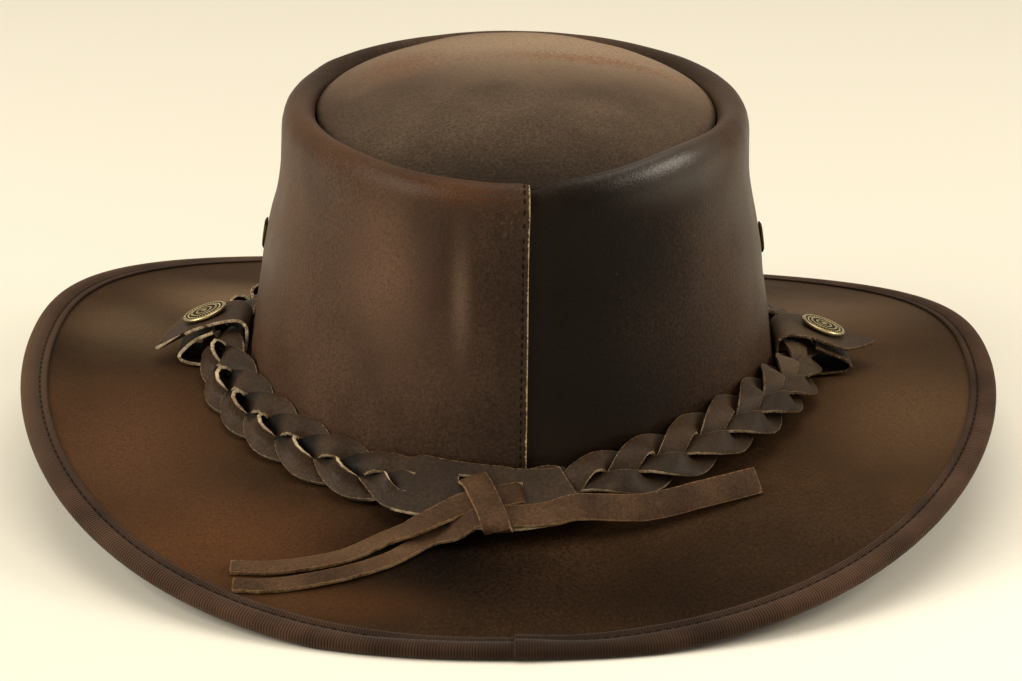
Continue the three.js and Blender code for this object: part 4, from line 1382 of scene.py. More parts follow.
@dataclass(frozen=True)
class RibbonBinding:
    """Ribbon folded over the brim's edge, sewn down in a groove and lapped at the back."""

    ribs: int = 1190
    rib_pitch: float = 0.9
    rows: int = 18
    rib_depth: float = 0.08
    woven_width: float = 24.0
    shown_wall: float = 0.75
    lap: float = 9.0
    lap_rise: float = 0.8
    stitch_pitch: float = 3.3
    stitch_proud: float = 0.05
    stitch: Stitch = Stitch(2.3, 0.6, 0.5)
    stitch_row: int = 3

    def point(self, turn: float, share: float) -> Vector:
        """Point of the outer face, from the upper inner edge (0) round to the lower one (1).

        Args:
            turn: angle round the brim.
            share: share of the way round the fold.

        Returns:
            The point.
        """
        rows = [Vector((row.out, row.up, 0)) for row in RIBBON_SECTION]
        out, up, _ = through(rows, share)
        width = FORM.brim_width(turn)
        point = FORM.brim_top(turn, 1 + min(out, 0) / width)
        if out > 0:
            inner = FORM.brim_top(turn, 1 - FORM.ribbon_width / width)
            away = point - inner
            away.z = 0
            point = point + away.normalized() * out
        return point + UP * up

    def normal(self, turn: float, share: float) -> Vector:
        """Outward normal of the outer face.

        Args:
            turn: angle round the brim.
            share: share of the way round the fold.

        Returns:
            The unit normal.
        """
        low, high = max(share - WIDE_STEP, 0), min(share + WIDE_STEP, 1)
        down = self.point(turn, high) - self.point(turn, low)
        along = self.point(turn + FINE_STEP, share) - self.point(turn - FINE_STEP, share)
        return down.cross(along).normalized()

    def place(self, along: float, share: float) -> Vector:
        """Point of the ribbed face, from its end on top at the back round to its covered end.

        Args:
            along: share of the ribbon's length.
            share: share of the way round the fold.

        Returns:
            The point.
        """
        covered = self.lap / FORM.brim_end
        turn = -math.pi / 2 + lerp(0, TAU + covered, along)
        ended = smooth(along, 0, 2.4 * self.lap / (TAU * FORM.brim_end))
        rib = self.rib_depth * math.cos(TAU * along * self.ribs)
        proud = self.lap_rise * (1 - ended) * (1 - smooth(share, 0.5, 0.75))
        return self.point(turn, share) + self.normal(turn, share) * (rib + proud)

    def build(self) -> None:
        """Builds the ribbon and the stitches that hold it."""
        sheet = SheetMesh("brim_ribbon")
        sheet.lay(2 * self.ribs, self.rows, self.place, (self.ribs * self.rib_pitch, self.woven_width),
                  CutEdges.NONE)
        sheet.turn_over()
        sheet.finish(walls_of(*[Finish.RIBBON] * 3), "binding_ribbon", "brim_binding",
                     wall=Wall(self.shown_wall, -1, rounding=0))
        self.sew()

    def sew(self) -> None:
        """Sews the ribbon down with a row of stitches in its groove."""
        share = self.stitch_row / (len(RIBBON_SECTION) - 1)
        count = round(TAU * (FORM.brim_side + FORM.brim_end) / 2 / self.stitch_pitch)
        spots = [(k + 0.5) / count * TAU for k in range(count)]
        thread = SheetMesh("ribbon_stitches")
        thread.sew(seam_seats(lambda turn: self.point(turn, share), lambda turn: self.normal(turn, share),
                              spots, self.stitch_proud), self.stitch)
        thread.finish(walls_of(Finish.THREAD), "binding_ribbon")


class BandRow(NamedTuple):
    """Lean of the band over the brim in degrees, and its ride up the crown, at a place round it."""

    at: float
    lean: float
    ride: float


BAND_LINE = tuple(BandRow(*row) for row in (
    (-90, 26, 0), (-68, 32, 4.6), (-48, 36, 6.4), (-28, 34, 4.6), (-10, 27, 0), (10, 27, 0), (50, 32, 0),
    (130, 32, 0), (170, 27, 0), (190, 27, 0), (225, 29, 0.8), (270, 26, 0),
))


class Seat(NamedTuple):
    """Seat of the band's middle line at a turn, and its length from the line's start."""

    turn: float
    out: float
    up: float
    top: float
    length: float


@dataclass
class BandRoute:
    """Where the braided band lies: its middle line, its length round the hat and its frames."""

    strip_width: float = 7.4
    strip_wall: float = 1.7
    swing: float = 6.2
    lift: float = 2.25
    sharpness: float = -0.05
    roll: float = 0.28
    cycle: float = 56.5
    blend: float = 10
    start: float = math.radians(-84)
    end: float = math.radians(252)
    under_length: float = 26
    over_length: float = 49
    strap_step: float = 1.35
    strap_room: float = 1.9
    keeper_width: float = 20
    keeper_wall: float = 1.7
    squeeze: float = 0.33
    lead_in: float = math.radians(40)
    lead_out: float = math.radians(60)
    seat_steps: int = 432
    probes: int = 24
    seats: list[Seat] = field(default_factory=list)

    def __post_init__(self) -> None:
        """Works out the seats along the band once."""
        length = 0.0
        before = None
        for j in range(self.seat_steps + 1):
            turn = lerp(self.start - self.lead_in, self.end + self.lead_out, j / self.seat_steps)
            out, up, top = self.seat(turn)
            point = self.on_crown(turn, out, up)
            length += (point - before).length if before else 0.0
            before = point
            self.seats.append(Seat(turn, out, up, top, length))
        self.first = self.at_turn(self.start, "length")
        self.last = self.at_turn(self.end, "length")
        braided = self.last - self.first - self.blend
        self.cycles = round(braided / self.cycle)
        self.rate = self.cycles * TAU / braided

    def at_turn(self, turn: float, value: str) -> float:
        """Value of the seats at a turn, straight between the two nearest.

        Args:
            turn: angle round the hat.
            value: name of the value that is read.

        Returns:
            The value.
        """
        share = (turn - self.seats[0].turn) / (self.seats[-1].turn - self.seats[0].turn)
        place = min(max(share, 0.0), 1.0) * (len(self.seats) - 1)
        i = min(int(place), len(self.seats) - 2)
        return lerp(getattr(self.seats[i], value), getattr(self.seats[i + 1], value), place - i)

    def turn_at(self, length: float) -> float:
        """Turn at a length along the line.

        Args:
            length: length from the line's start.

        Returns:
            The turn in radians.
        """
        low, high = 0, len(self.seats) - 1
        while high - low > 1:
            middle = (low + high) // 2
            low, high = (middle, high) if self.seats[middle].length < length else (low, middle)
        a, b = self.seats[low], self.seats[high]
        return lerp(a.turn, b.turn, (length - a.length) / (b.length - a.length))

    def shape(self, phase: float) -> tuple[float, float, float, float, float]:
        """Strand's place across and above the band at a phase, the slopes of both and its roll.

        Args:
            phase: where the strand is in its cycle, in radians.

        Returns:
            Across, above, the two slopes along the band, and the roll in radians.
        """
        rate = TAU / self.cycle
        return (
            self.swing * math.sin(phase),
            self.lift * (math.sin(2 * phase) + self.sharpness * math.sin(4 * phase)),
            self.swing * rate * math.cos(phase),
            self.lift * rate * (2 * math.cos(2 * phase) + 4 * self.sharpness * math.cos(4 * phase)),
            self.roll * math.cos(3 * phase),
        )

    def near_keeper(self, turn: float) -> float:
        """Nearness to a keeper, 1 within its width."""
        half = self.keeper_width / 2 / FORM.head_side
        return 1 - smooth(math.asin(abs(math.sin(turn))), half + 0.03, half + 0.26)

    def squeezed(self, turn: float) -> float:
        """Share of its width that the braid keeps at a turn."""
        return 1 - self.squeeze * self.near_keeper(turn)

    def line(self, turn: float, value: str) -> float:
        """Lean or ride of the band at a turn."""
        degrees = (math.degrees(turn) + 90) % 360 - 90
        return between(BAND_LINE, "at", degrees, value)

    def brim_rise(self, turn: float, out: float) -> float:
        """Height of the brim's top face above the crown's foot, at a distance out from it."""
        return FORM.brim_top(turn, out / FORM.brim_width(turn)).z - FORM.foot(turn)

    def room(self, turn: float) -> float:
        """Clearance under the braid, for the keepers and for the strap's overlapped ends.

        Args:
            turn: angle round the hat.

        Returns:
            The clearance in millimetres.
        """
        back = math.acos(min(max(-math.sin(turn), -1), 1))
        ends = self.under_length / FORM.head_side
        straps = self.strap_room * (1 - smooth(back, ends, ends + 0.3))
        keepers = (self.keeper_wall + 2 * FORM.gap) * self.near_keeper(turn)
        return 1.2 * FORM.gap + max(keepers, straps)

    def seat(self, turn: float) -> Triple:
        """Seat of the middle line: out from the foot, up from its level, and the braid's top.

        Args:
            turn: angle round the hat.

        Returns:
            The three distances in millimetres.
        """
        lean = math.radians(self.line(turn, "lean"))
        corners = []
        for k in range(self.probes):
            across, above, drift, _, roll = self.shape(k / self.probes * TAU)
            half = (self.strip_width / 2) * math.hypot(1, drift)
            for side in (-1, 1):
                for face in (-1, 1):
                    a = across * self.squeezed(turn) + side * half * math.cos(roll)
                    b = above + side * half * math.sin(roll) + face * self.strip_wall / 2
                    corners.append((b * math.sin(lean) - a * math.cos(lean),
                                    b * math.cos(lean) + a * math.sin(lean)))
        room = self.room(turn)
        reach = room + max(-out for out, _ in corners)
        rests = max(self.brim_rise(turn, reach + out) - up for out, up in corners)
        up = room + rests + self.line(turn, "ride")
        touch = up + (self.swing + self.strip_width / 2) * math.sin(lean)
        return reach - FORM.drawn_in(turn, touch), up, up + max(high for _, high in corners)

    def on_crown(self, turn: float, out: float, up: float) -> Vector:
        """Point at a distance out from the crown's foot and up from its level."""
        point, normal = oval(turn, FORM.head_side, FORM.head_end)
        return point + normal * out + UP * (FORM.foot(turn) + up)

    def point(self, turn: float) -> Vector:
        """Point of the middle line."""
        return self.on_crown(turn, self.at_turn(turn, "out"), self.at_turn(turn, "up"))

    def frame(self, length: float) -> tuple[Vector, Vector, Vector, Vector]:
        """Frame of the band at a length.

        Args:
            length: length from the line's start.

        Returns:
            Its middle, its run, the direction across towards the crown, and its normal.
        """
        turn = self.turn_at(length)
        run = (self.point(turn + WIDE_STEP) - self.point(turn - WIDE_STEP)).normalized()
        out = oval(turn, FORM.head_side, FORM.head_end)[1]
        lean = math.radians(self.line(turn, "lean"))
        face = out * math.sin(lean) + UP * math.cos(lean)
        across = face.cross(run).normalized()
        return self.point(turn), run, across, run.cross(across)

    def strap_height(self, length: float) -> float:
        """Height of the uncut strap at either end of the braid: the last end lies over the first."""
        first = -self.strap_step * (1 - smooth(length, self.first, self.first + 2 * self.blend))
        return first + self.strap_step * smooth(length, self.last - 2 * self.blend, self.last)


class Span(NamedTuple):
    """Part of a strip's cycle in degrees: where it comes in and where it goes out again."""

    opens: Pair
    closes: Pair


@dataclass(frozen=True)
class Strand:
    """One of the braid's three strips: its phase in degrees and its slot in the uncut strap."""

    phase: float
    slot: int


@dataclass(frozen=True)
class BraidedBand:
    """Band round the crown: a strap cut into three strips that are braided between its ends."""

    route: BandRoute
    slits: Callable[[float, float], bool]
    strands: tuple[Strand, ...] = (Strand(0, 0), Strand(120, 1), Strand(240, -1))
    pitch: float = 7.6
    strip_rows: int = 10
    steps_per_cycle: int = 27
    under_steps: int = 24
    over_steps: int = 100
    shown_wall: float = 1.2
    rounding: float = 0.25
    waver: float = 0.035
    cup: float = 0.45
    bend: float = 1.3
    press_low: float = 0.4
    press_high: float = 1.2
    spread_high: float = 0.4
    curl_low: float = 0.3
    curl_high: float = 2.9
    # Share of painted shade on the lower lobes at the right.
    low_shade: float = 0.4
    over: Span = Span((-25, 15), (60, 100))
    lobe: Span = Span((186, 222), (262, 312))
    # Where painted shade falls in a strip's cycle: on its brim-side edge, and on its lower lobes.
    outer_shaded: Span = Span((130, 190), (320, 350))
    low: Span = Span((150, 210), (300, 345))
    sag: float = 4.0
    sag_length: float = 24.0
    slant: float = -2.8
    narrowing: float = 5.0

    @property
    def width(self) -> float:
        """Width of the uncut strap."""
        return 2 * self.pitch + self.route.strip_width

    def phase(self, strand: Strand, length: float) -> float:
        """Where a strip is in its cycle at a length along the band, in radians."""
        braided = length - self.route.first - self.route.blend / 2
        return math.radians(strand.phase) + self.route.rate * braided

    def crossing(self, phase: float) -> float:
        """Nearness of a strip to the braid's middle, where it passes over on its way to the crown."""
        return window((math.degrees(phase) + 180) % 360 - 180, *self.over)

    def brim_lobe(self, phase: float) -> float:
        """Nearness of a strip to its brim side, where its inner edge stands clear of the others."""
        return window(math.degrees(phase) % 360, *self.lobe)

    def depth(self, strand: Strand, share: float, across: float) -> float:
        """How deep a strip lies under the others, for painted shade in its hollows and on its lower lobes,
        or how much painted shade its brim-side edge takes (below 0).

        Args:
            strand: the strip.
            share: share of the braided length.
            across: share of the strip's width, from its brim side.

        Returns:
            The depth, from -1 to 1.
        """
        route = self.route
        length = lerp(route.first, route.last, share)
        phase = self.phase(strand, length)
        degrees = math.degrees(phase) % 360
        left = smooth(-math.cos(route.turn_at(length)), -0.3, 0.4)
        braided = smooth(min(share, 1 - share) * (route.last - route.first), 0, route.blend)
        # Painted shade in the hollows where the strip dives under the others.
        hollow = smooth(-math.sin(2 * phase - lerp(0.6, 1.15, left)), -0.25, 0.75)
        hollow *= lerp(0.5, 1.0, left) * braided
        # Painted shade on the brim-side edge of the left lobes, and on the lower lobes at the right.
        outer_shaded = window(degrees, *self.outer_shaded) * smooth(across, 0.35, 0.1) * left
        low = window(degrees, *self.low) * (1 - left) * braided
        return -outer_shaded if outer_shaded > hollow else max(hollow, self.low_shade * low)

    def strand_point(self, strand: Strand, length: float, across: float) -> Vector:
        """Point of a strip's middle sheet.

        Args:
            strand: the strip.
            length: length along the band.
            across: place across the strip, from -1 at the brim to 1 at the crown.

        Returns:
            The point.
        """
        route = self.route
        turn = route.turn_at(length)
        # The braid is loose on the wearer's right and drawn tight on the left.
        tight = smooth(-math.cos(turn), 0.05, 0.5)
        middle, run, level, normal = route.frame(length)
        phase = self.phase(strand, length)
        side, above, drift, climb, roll = route.shape(phase)
        opens, closes = (route.first, route.first + route.blend), (route.last - route.blend, route.last)
        share = window(length, opens, closes)
        squeezed = route.squeezed(turn)
        middle = middle + level * lerp(strand.slot * self.pitch, side * squeezed, share)
        middle = middle + normal * (share * above + route.strap_height(length))
        heading = (run + level * share * drift * squeezed + normal * share * climb).normalized()
        flat = normal.cross(heading).normalized()
        face = heading.cross(flat)
        tilted = flat * math.cos(share * roll) + face * math.sin(share * roll)
        up = heading.cross(tilted).normalized()
        rough = noise.noise(Vector((length / 3.1, across * 9, strand.phase)))
        outer = max(0.0, -across) ** self.bend * self.crossing(phase)
        spread = self.spread_high * tight
        half = route.strip_width / 2 * (1 + share * (self.waver * rough + spread * outer))
        inner = max(0.0, across) ** self.bend * self.brim_lobe(phase)
        curl = lerp(self.curl_low, self.curl_high, tight)
        press = lerp(self.press_low, self.press_high, tight)
        lift = curl * inner - press * outer - self.cup * across**2
        return middle + tilted * across * half + up * share * lift

    def strap_point(self, low: float, high: float, slant: float, along: float, across: float) -> Vector:
        """Point of the uncut strap's middle sheet, with a slanted and narrowed free end.

        Args:
            low: length along the band where the sheet starts.
            high: length where it ends.
            slant: how much further its inner edge goes than its outer edge.
            along: share of the sheet's length.
            across: share of its width, from the brim.

        Returns:
            The point.
        """
        route = self.route
        length = lerp(low, high, along)
        middle, run, level, normal = route.frame(length)
        tip = route.last + route.over_length
        sag = self.sag * smooth(length, tip - self.sag_length, tip)
        cut = slant * smooth(along, 0.55, 1.0)
        middle = middle + normal * route.strap_height(length) - level * sag
        drawn = self.narrowing * (1 - across) * smooth(length, tip - 42, tip - 14)
        return middle + level * (self.width * (across - 0.5) + drawn) + run * cut * (across - 0.5)

    def row_share(self, across: float) -> float:
        """Share of the strap's width for an even share of its rows, which line up with the strips' rows.

        Args:
            across: share of the rows.

        Returns:
            Share of the width.
        """
        rows = 3 * self.strip_rows + 2
        row = round(across * rows)
        strip, step = divmod(row, self.strip_rows + 1)
        return (strip * self.pitch + step / self.strip_rows * self.route.strip_width) / self.width

    def build(self) -> None:
        """Lays the strips and the strap's two uncut ends in one, the last one slit for the lace."""
        route = self.route
        first, last = route.first, route.last
        sheet = SheetMesh("braided_band_leather")
        columns = round(route.cycles * self.steps_per_cycle)
        for strand in self.strands:
            sheet.lay(columns, self.strip_rows,
                      lambda along, across, strand=strand: self.strand_point(
                          strand, lerp(first, last, along), 2 * across - 1),
                      (last - first, route.strip_width), CutEdges.SIDES,
                      depth=lambda along, across, strand=strand: self.depth(strand, along, across))
        ends = CutEdges.SIDES | CutEdges.END
        for low, high, slant, steps, cut, edges in (
                (first - route.under_length, first, 0.0, self.under_steps, None, CutEdges.SIDES),
                (last, last + route.over_length, self.slant, self.over_steps, self.slits, ends)):
            sheet.lay(steps, 3 * self.strip_rows + 2,
                      lambda along, across, low=low, high=high, slant=slant: self.strap_point(
                          low, high, slant, along, self.row_share(across)),
                      (high - low, self.width), edges, cut)
        sheet.finish(walls_of(Finish.STRAP, Finish.FLESH, Finish.RAW_EDGE), "strap_leather",
                     "braided_band", wall=Wall(self.shown_wall, 0, rounding=self.rounding))


class KeeperRow(NamedTuple):
    """Keeper's middle line: out and up as shares of its reach and height."""

    out: float
    up: float


KEEPER_LINE = tuple(KeeperRow(*row) for row in (
    (1.0, 0.3), (0.86, 0.45), (0.68, 0.65), (0.5, 0.83), (0.32, 0.95), (0.15, 0.98), (0.06, 0.87),
    (0.035, 0.66), (0.035, 0.4), (0.055, 0.2), (0.13, 0.12), (0.4, 0.1), (0.62, 0.1), (0.71, 0.2),
    (0.69, 0.35), (0.57, 0.52), (0.4, 0.7),
))


class CapRow(NamedTuple):
    """Snap cap's profile: radius and height as shares of its own, and whether it lies hollow."""

    radius: float
    height: float
    hollow: bool


CAP_PROFILE = tuple(CapRow(*row) for row in (
    (0.92, 0.0, False), (1.0, 0.12, False), (1.0, 0.3, False), (0.96, 0.42, False), (0.9, 0.46, False),
    (0.86, 0.42, False), (0.83, 0.36, True), (0.66, 0.38, True), (0.62, 0.48, False), (0.57, 0.52, False),
    (0.52, 0.48, False), (0.49, 0.4, True), (0.42, 0.4, True), (0.38, 0.48, False), (0.33, 0.51, False),
    (0.28, 0.48, False), (0.25, 0.42, True), (0.18, 0.42, True), (0.14, 0.5, False), (0.07, 0.56, False),
))
CAP_CROWN = 0.57


def in_hollow(radius: float) -> bool:
    """Whether a share of the cap's radius lies in one of its hollows."""
    return any(inner.radius < radius < outer.radius and (inner.hollow or outer.hollow)
               for outer, inner in zip(CAP_PROFILE, CAP_PROFILE[1:]))


@dataclass(frozen=True)
class Keeper:
    """Strip of leather rolled round the braid at one side and closed by a snap."""

    side: Side
    route: BandRoute
    columns: int = 112
    rows: int = 14
    reach: float = 35
    shown_wall: float = 1.05
    back_width: float = 13.0
    front_width: float = 9.0
    tip_cut: float = 0.1
    tip_across: float = 0.08
    cap_radius: float = 7.5
    cap_height: float = 2.9
    cap_lift: float = 0.2
    cap_steps: int = 64
    cap_row: float = 3
    beads: int = 36
    bead_radius: float = 0.745
    bead_height: float = 0.38
    bead_size: Triple = (0.36, 0.3, 0.26)
    rise: float = 0.0
    upturn: float = 0.0
    cap_tilt: float = 0.0

    def line(self) -> list[Vector]:
        """Middle line of the rolled strip.

        Returns:
            Its points, out and up from the crown's foot at the side.
        """
        turn = self.side.turn
        height = self.route.at_turn(turn, "top") + 2 * FORM.gap + self.route.keeper_wall / 2
        points = []
        for row in KEEPER_LINE:
            out = row.out * self.reach
            share = row.up + self.upturn * smooth(row.out, 0.72, 1.0)
            up = lerp(self.route.brim_rise(turn, out), height, share)
            up += self.rise * smooth(row.up, 0.3, 0.6)
            points.append(Vector((out - FORM.drawn_in(turn, up), up, 0)))
        return points

    def spot(self, share: float) -> Vector:
        """Point of the middle line in the hat's own millimetres."""
        out, up, _ = through(self.line(), share)
        return Vector((self.side.value * (FORM.head_side + out), 0, FORM.foot_z + FORM.foot_rise + up))

    def place(self, along: float, across: float) -> Vector:
        """Point of the keeper's middle sheet.

        Args:
            along: share of the strip's length, from its free tip.
            across: share of its width, from the back.

        Returns:
            The point.
        """
        off = (self.tip_across - across) if across < self.tip_across else across - self.tip_across
        off /= self.tip_across if across < self.tip_across else 1 - self.tip_across
        tip = self.tip_cut * (1 - smooth(along, 0.0, 0.34)) * off
        share = min(along + tip, 1)
        point = self.spot(share)
        rough = noise.noise(Vector((along * 31, across * 3, 3)))
        point.y = lerp(-self.back_width, self.front_width, across) + 0.5 * rough * (1 - across)
        near, far = self.spot(max(share - WIDE_STEP, 0)), self.spot(min(share + WIDE_STEP, 1))
        normal = (near - far).cross(Vector((0, self.side.value, 0))).normalized()
        return point + normal * ripple(point, 9, 0.3)

    def build(self) -> None:
        """Builds the keeper and its snap cap."""
        length = sum((b - a).length for a, b in zip(self.line(), self.line()[1:]))
        sheet = SheetMesh(f"keeper_{self.side.label}_leather")
        sheet.lay(self.columns, self.rows, self.place, (length, self.back_width + self.front_width))
        if self.side is Side.RIGHT:
            sheet.turn_over()
        sheet.finish(walls_of(Finish.STRAP, Finish.KEEPER_SHADED_LINING, Finish.RAW_EDGE), "strap_leather",
                     f"keeper_{self.side.label}", wall=Wall(self.shown_wall, 0))
        self.cap()

    def cap(self) -> None:
        """Turns the snap cap, dulls its hollows and sets its beads."""
        share = self.cap_row / (len(KEEPER_LINE) - 1)
        run = (self.spot(share - WIDE_STEP) - self.spot(share + WIDE_STEP)).normalized()
        axis = Vector((-self.side.value * run.z, self.cap_tilt, self.side.value * run.x)).normalized()
        seat = seat_of(self.spot(share) + axis * (self.route.keeper_wall / 2), Vector((0, 1, 0)), axis)
        rows = [(row.radius * self.cap_radius, self.cap_up(row.height)) for row in CAP_PROFILE]
        mesh = turned([(0, 0.0), *rows, (0, self.cap_up(CAP_CROWN))], self.cap_steps, closed=False)
        for face in mesh.faces:
            radius = face.calc_center_median().to_2d().length / self.cap_radius
            face.material_index = int(in_hollow(radius))
        self.bead(mesh)
        label = self.side.label
        set_metal(mesh, seat, f"snap_cap_{label}", f"snap_stud_{label}", Finish.BRASS, Finish.PATINA)

    def cap_up(self, share: float) -> float:
        """Height over the leather at a share of the cap's own height."""
        return share * self.cap_height + self.cap_lift

    def bead(self, mesh: bmesh.types.BMesh) -> None:
        """Sets the ring of small domes on the cap.

        Args:
            mesh: the cap, round its own z axis.
        """
        moved = Matrix.Translation((self.bead_radius * self.cap_radius, 0, self.cap_up(self.bead_height)))
        for k in range(self.beads):
            around = Matrix.Rotation(k / self.beads * TAU, 4, "Z")
            bmesh.ops.create_uvsphere(mesh, u_segments=8, v_segments=6, radius=1,
                                      matrix=around @ moved @ Matrix.Diagonal((*self.bead_size, 1)))


class BrimSpot(NamedTuple):
    """Place of the lace over the brim: degrees round, share of its width, lift in walls, lean."""

    at: float
    share: float
    lift: float
    lean: float


class StrapSpot(NamedTuple):
    """Place of the lace on the strap: along and across in lace widths, off in walls, lean."""

    along: float
    across: float
    off: float
    lean: float


UPPER_TAIL = tuple(BrimSpot(*row) for row in (
    (-123.6, 0.8, 0, 0), (-119.2, 0.71, 0, 0), (-113.2, 0.55, 0, 0), (-108.8, 0.4, 0.5, 4),
))
LOWER_TAIL = tuple(BrimSpot(*row) for row in (
    (-121.6, 0.88, 0, 0), (-117.6, 0.8, 0, 0), (-112.0, 0.65, 0, 0), (-107.2, 0.51, 0, 0),
    (-102.8, 0.36, 0.4, 6),
))
RIGHT_TAIL = tuple(BrimSpot(*row) for row in (
    (-69, 0.3, 2.65, 42), (-58.5, 0.3, 2.1, 46), (-48.6, 0.33, 1.2, 48),
))
BRIDGE = tuple(StrapSpot(*row) for row in (
    (1.6, -2.2, 0.2, 0), (2.28, -1.42, 0.2, 0), (2.95, -0.75, 0, 0), (3.65, -0.45, 0, 0),
    (4.4, -0.22, 0, 0), (4.78, -0.13, -0.1, 0), (4.93, -0.11, -1.1, 0),
))
UNDER_WRAP = tuple(StrapSpot(*row) for row in (
    (2.75, -2.0, -0.8, 0), (3.3, -1.5, 0.05, 0), (3.9, -1.32, 0.4, 0), (4.7, -1.3, 0.2, 0),
    (5.6, -1.36, 0.2, 4), (6.6, -1.4, 0.75, 14),
))
WRAP = tuple(StrapSpot(*row) for row in (
    (2.9, 0.62, -1.1, 0), (2.98, 0.5, 0, 0), (3.25, 0.1, 0.45, 0), (3.5, -0.45, 0.85, 0),
    (3.75, -1.1, 1.3, 0), (3.98, -1.7, 0.9, 25), (4.08, -1.93, -0.1, 95), (4.12, -1.66, -0.95, 175),
))


class Slit(NamedTuple):
    """Slit in the strap: its middle along in lace widths and across in mm, and its half sizes in mm."""

    along: float
    across: float
    half_along: float
    half_across: float


LACE_SLITS = (Slit(2.95, 16.6, 4.4, 0.8), Slit(4.9, 10.9, 0.8, 4.6))


@dataclass(frozen=True)
class TieLace:
    """Lace drawn through two slits of the strap and wrapped once over its own tails."""

    route: BandRoute
    width: float = 8.2
    wall: float = 2.0
    shown_wall: float = 1.3
    tail_share: float = 0.66
    strap_top: float = 1.0
    ragged: float = 0.03
    cup: float = 0.25
    face_mm: float = 1.4
    rows: int = 8
    start: float = 55.0

    def on_brim(self, spot: BrimSpot) -> tuple[Vector, Vector]:
        """Middle and face of the lace over the brim.

        Args:
            spot: the place.

        Returns:
            The middle in the hat's own millimetres and the direction that the lace faces.
        """
        turn, step = math.radians(spot.at), 0.02
        point = FORM.brim_top(turn, spot.share)
        outward = FORM.brim_top(turn, spot.share + step) - FORM.brim_top(turn, spot.share - step)
        round_it = FORM.brim_top(turn + step, spot.share) - FORM.brim_top(turn - step, spot.share)
        outward.normalize()
        face = outward.cross(round_it).normalized()
        lean = math.radians(spot.lean)
        face = face * math.cos(lean) + outward * math.sin(lean)
        return point + UP * (FORM.gap + self.wall * (0.5 + spot.lift)), face

    def on_strap(self, spot: StrapSpot) -> tuple[Vector, Vector]:
        """Middle and face of the lace on the strap.

        Args:
            spot: the place.

        Returns:
            The middle in the hat's own millimetres and the direction that the lace faces.
        """
        length = self.route.last + self.route.over_length - self.start + spot.along * self.width
        middle, _, across, normal = self.route.frame(length)
        above = self.route.strap_height(length) + self.strap_top + FORM.gap
        above += self.wall * (0.5 + spot.off)
        lean = math.radians(spot.lean)
        return (middle + normal * above + across * spot.across * self.width,
                normal * math.cos(lean) - across * math.sin(lean))

    def stretches(self) -> list[list[tuple[Vector, Vector]]]:
        """Rows of places that the three stretches of the lace pass through.

        Returns:
            Middles and faces: upper tail and bridge, lower tail to right tail, and the wrap.
        """
        return [
            [self.on_brim(s) for s in UPPER_TAIL] + [self.on_strap(s) for s in BRIDGE],
            [self.on_brim(s) for s in LOWER_TAIL] + [self.on_strap(s) for s in UNDER_WRAP]
            + [self.on_brim(s) for s in RIGHT_TAIL],
            [self.on_strap(s) for s in WRAP],
        ]

    def place(self, spots: list[tuple[Vector, Vector]], along: float, across: float) -> Vector:
        """Point of a stretch's middle sheet.

        Args:
            spots: middles and faces that the stretch passes through.
            along: share of its length.
            across: share of its width.

        Returns:
            The point.
        """
        middles = [spot[0] for spot in spots]
        point = through(middles, along)
        run = through(middles, min(along + STEP, 1)) - through(middles, max(along - STEP, 0))
        face = through([spot[1] for spot in spots], along)
        flat = face.cross(run).normalized()
        normal = run.cross(flat).normalized()
        rough = noise.noise(Vector((along * 60, across * 4, len(spots))))
        half = self.width / 2 * (1 + self.ragged * rough)
        if middles[0].x < -30:
            # The two left tails narrow toward their ends.
            half *= lerp(self.tail_share, 1, smooth(along, 0.25, 0.7))
        side = 2 * across - 1
        return point + flat * side * half - normal * self.cup * side**2

    def build(self) -> None:
        """Lays the lace."""
        sheet = SheetMesh("lace_strips")
        for spots in self.stretches():
            length = sum((b[0] - a[0]).length for a, b in zip(spots, spots[1:]))
            sheet.lay(round(length / self.face_mm), self.rows,
                      lambda along, across, spots=spots: self.place(spots, along, across),
                      (length, self.width))
        sheet.finish(walls_of(Finish.LACE, Finish.FLESH, Finish.LACE_EDGE), "lace_leather", "tie_lace",
                     wall=Wall(self.shown_wall, 0))

    def slits(self, along: float, across: float) -> bool:
        """Whether a place on the strap, in millimetres, lies in one of the two slits."""
        length = along + self.start - self.route.over_length
        return any(abs(length - slit.along * self.width) < slit.half_along
                   and abs(across - slit.across) < slit.half_across for slit in LACE_SLITS)


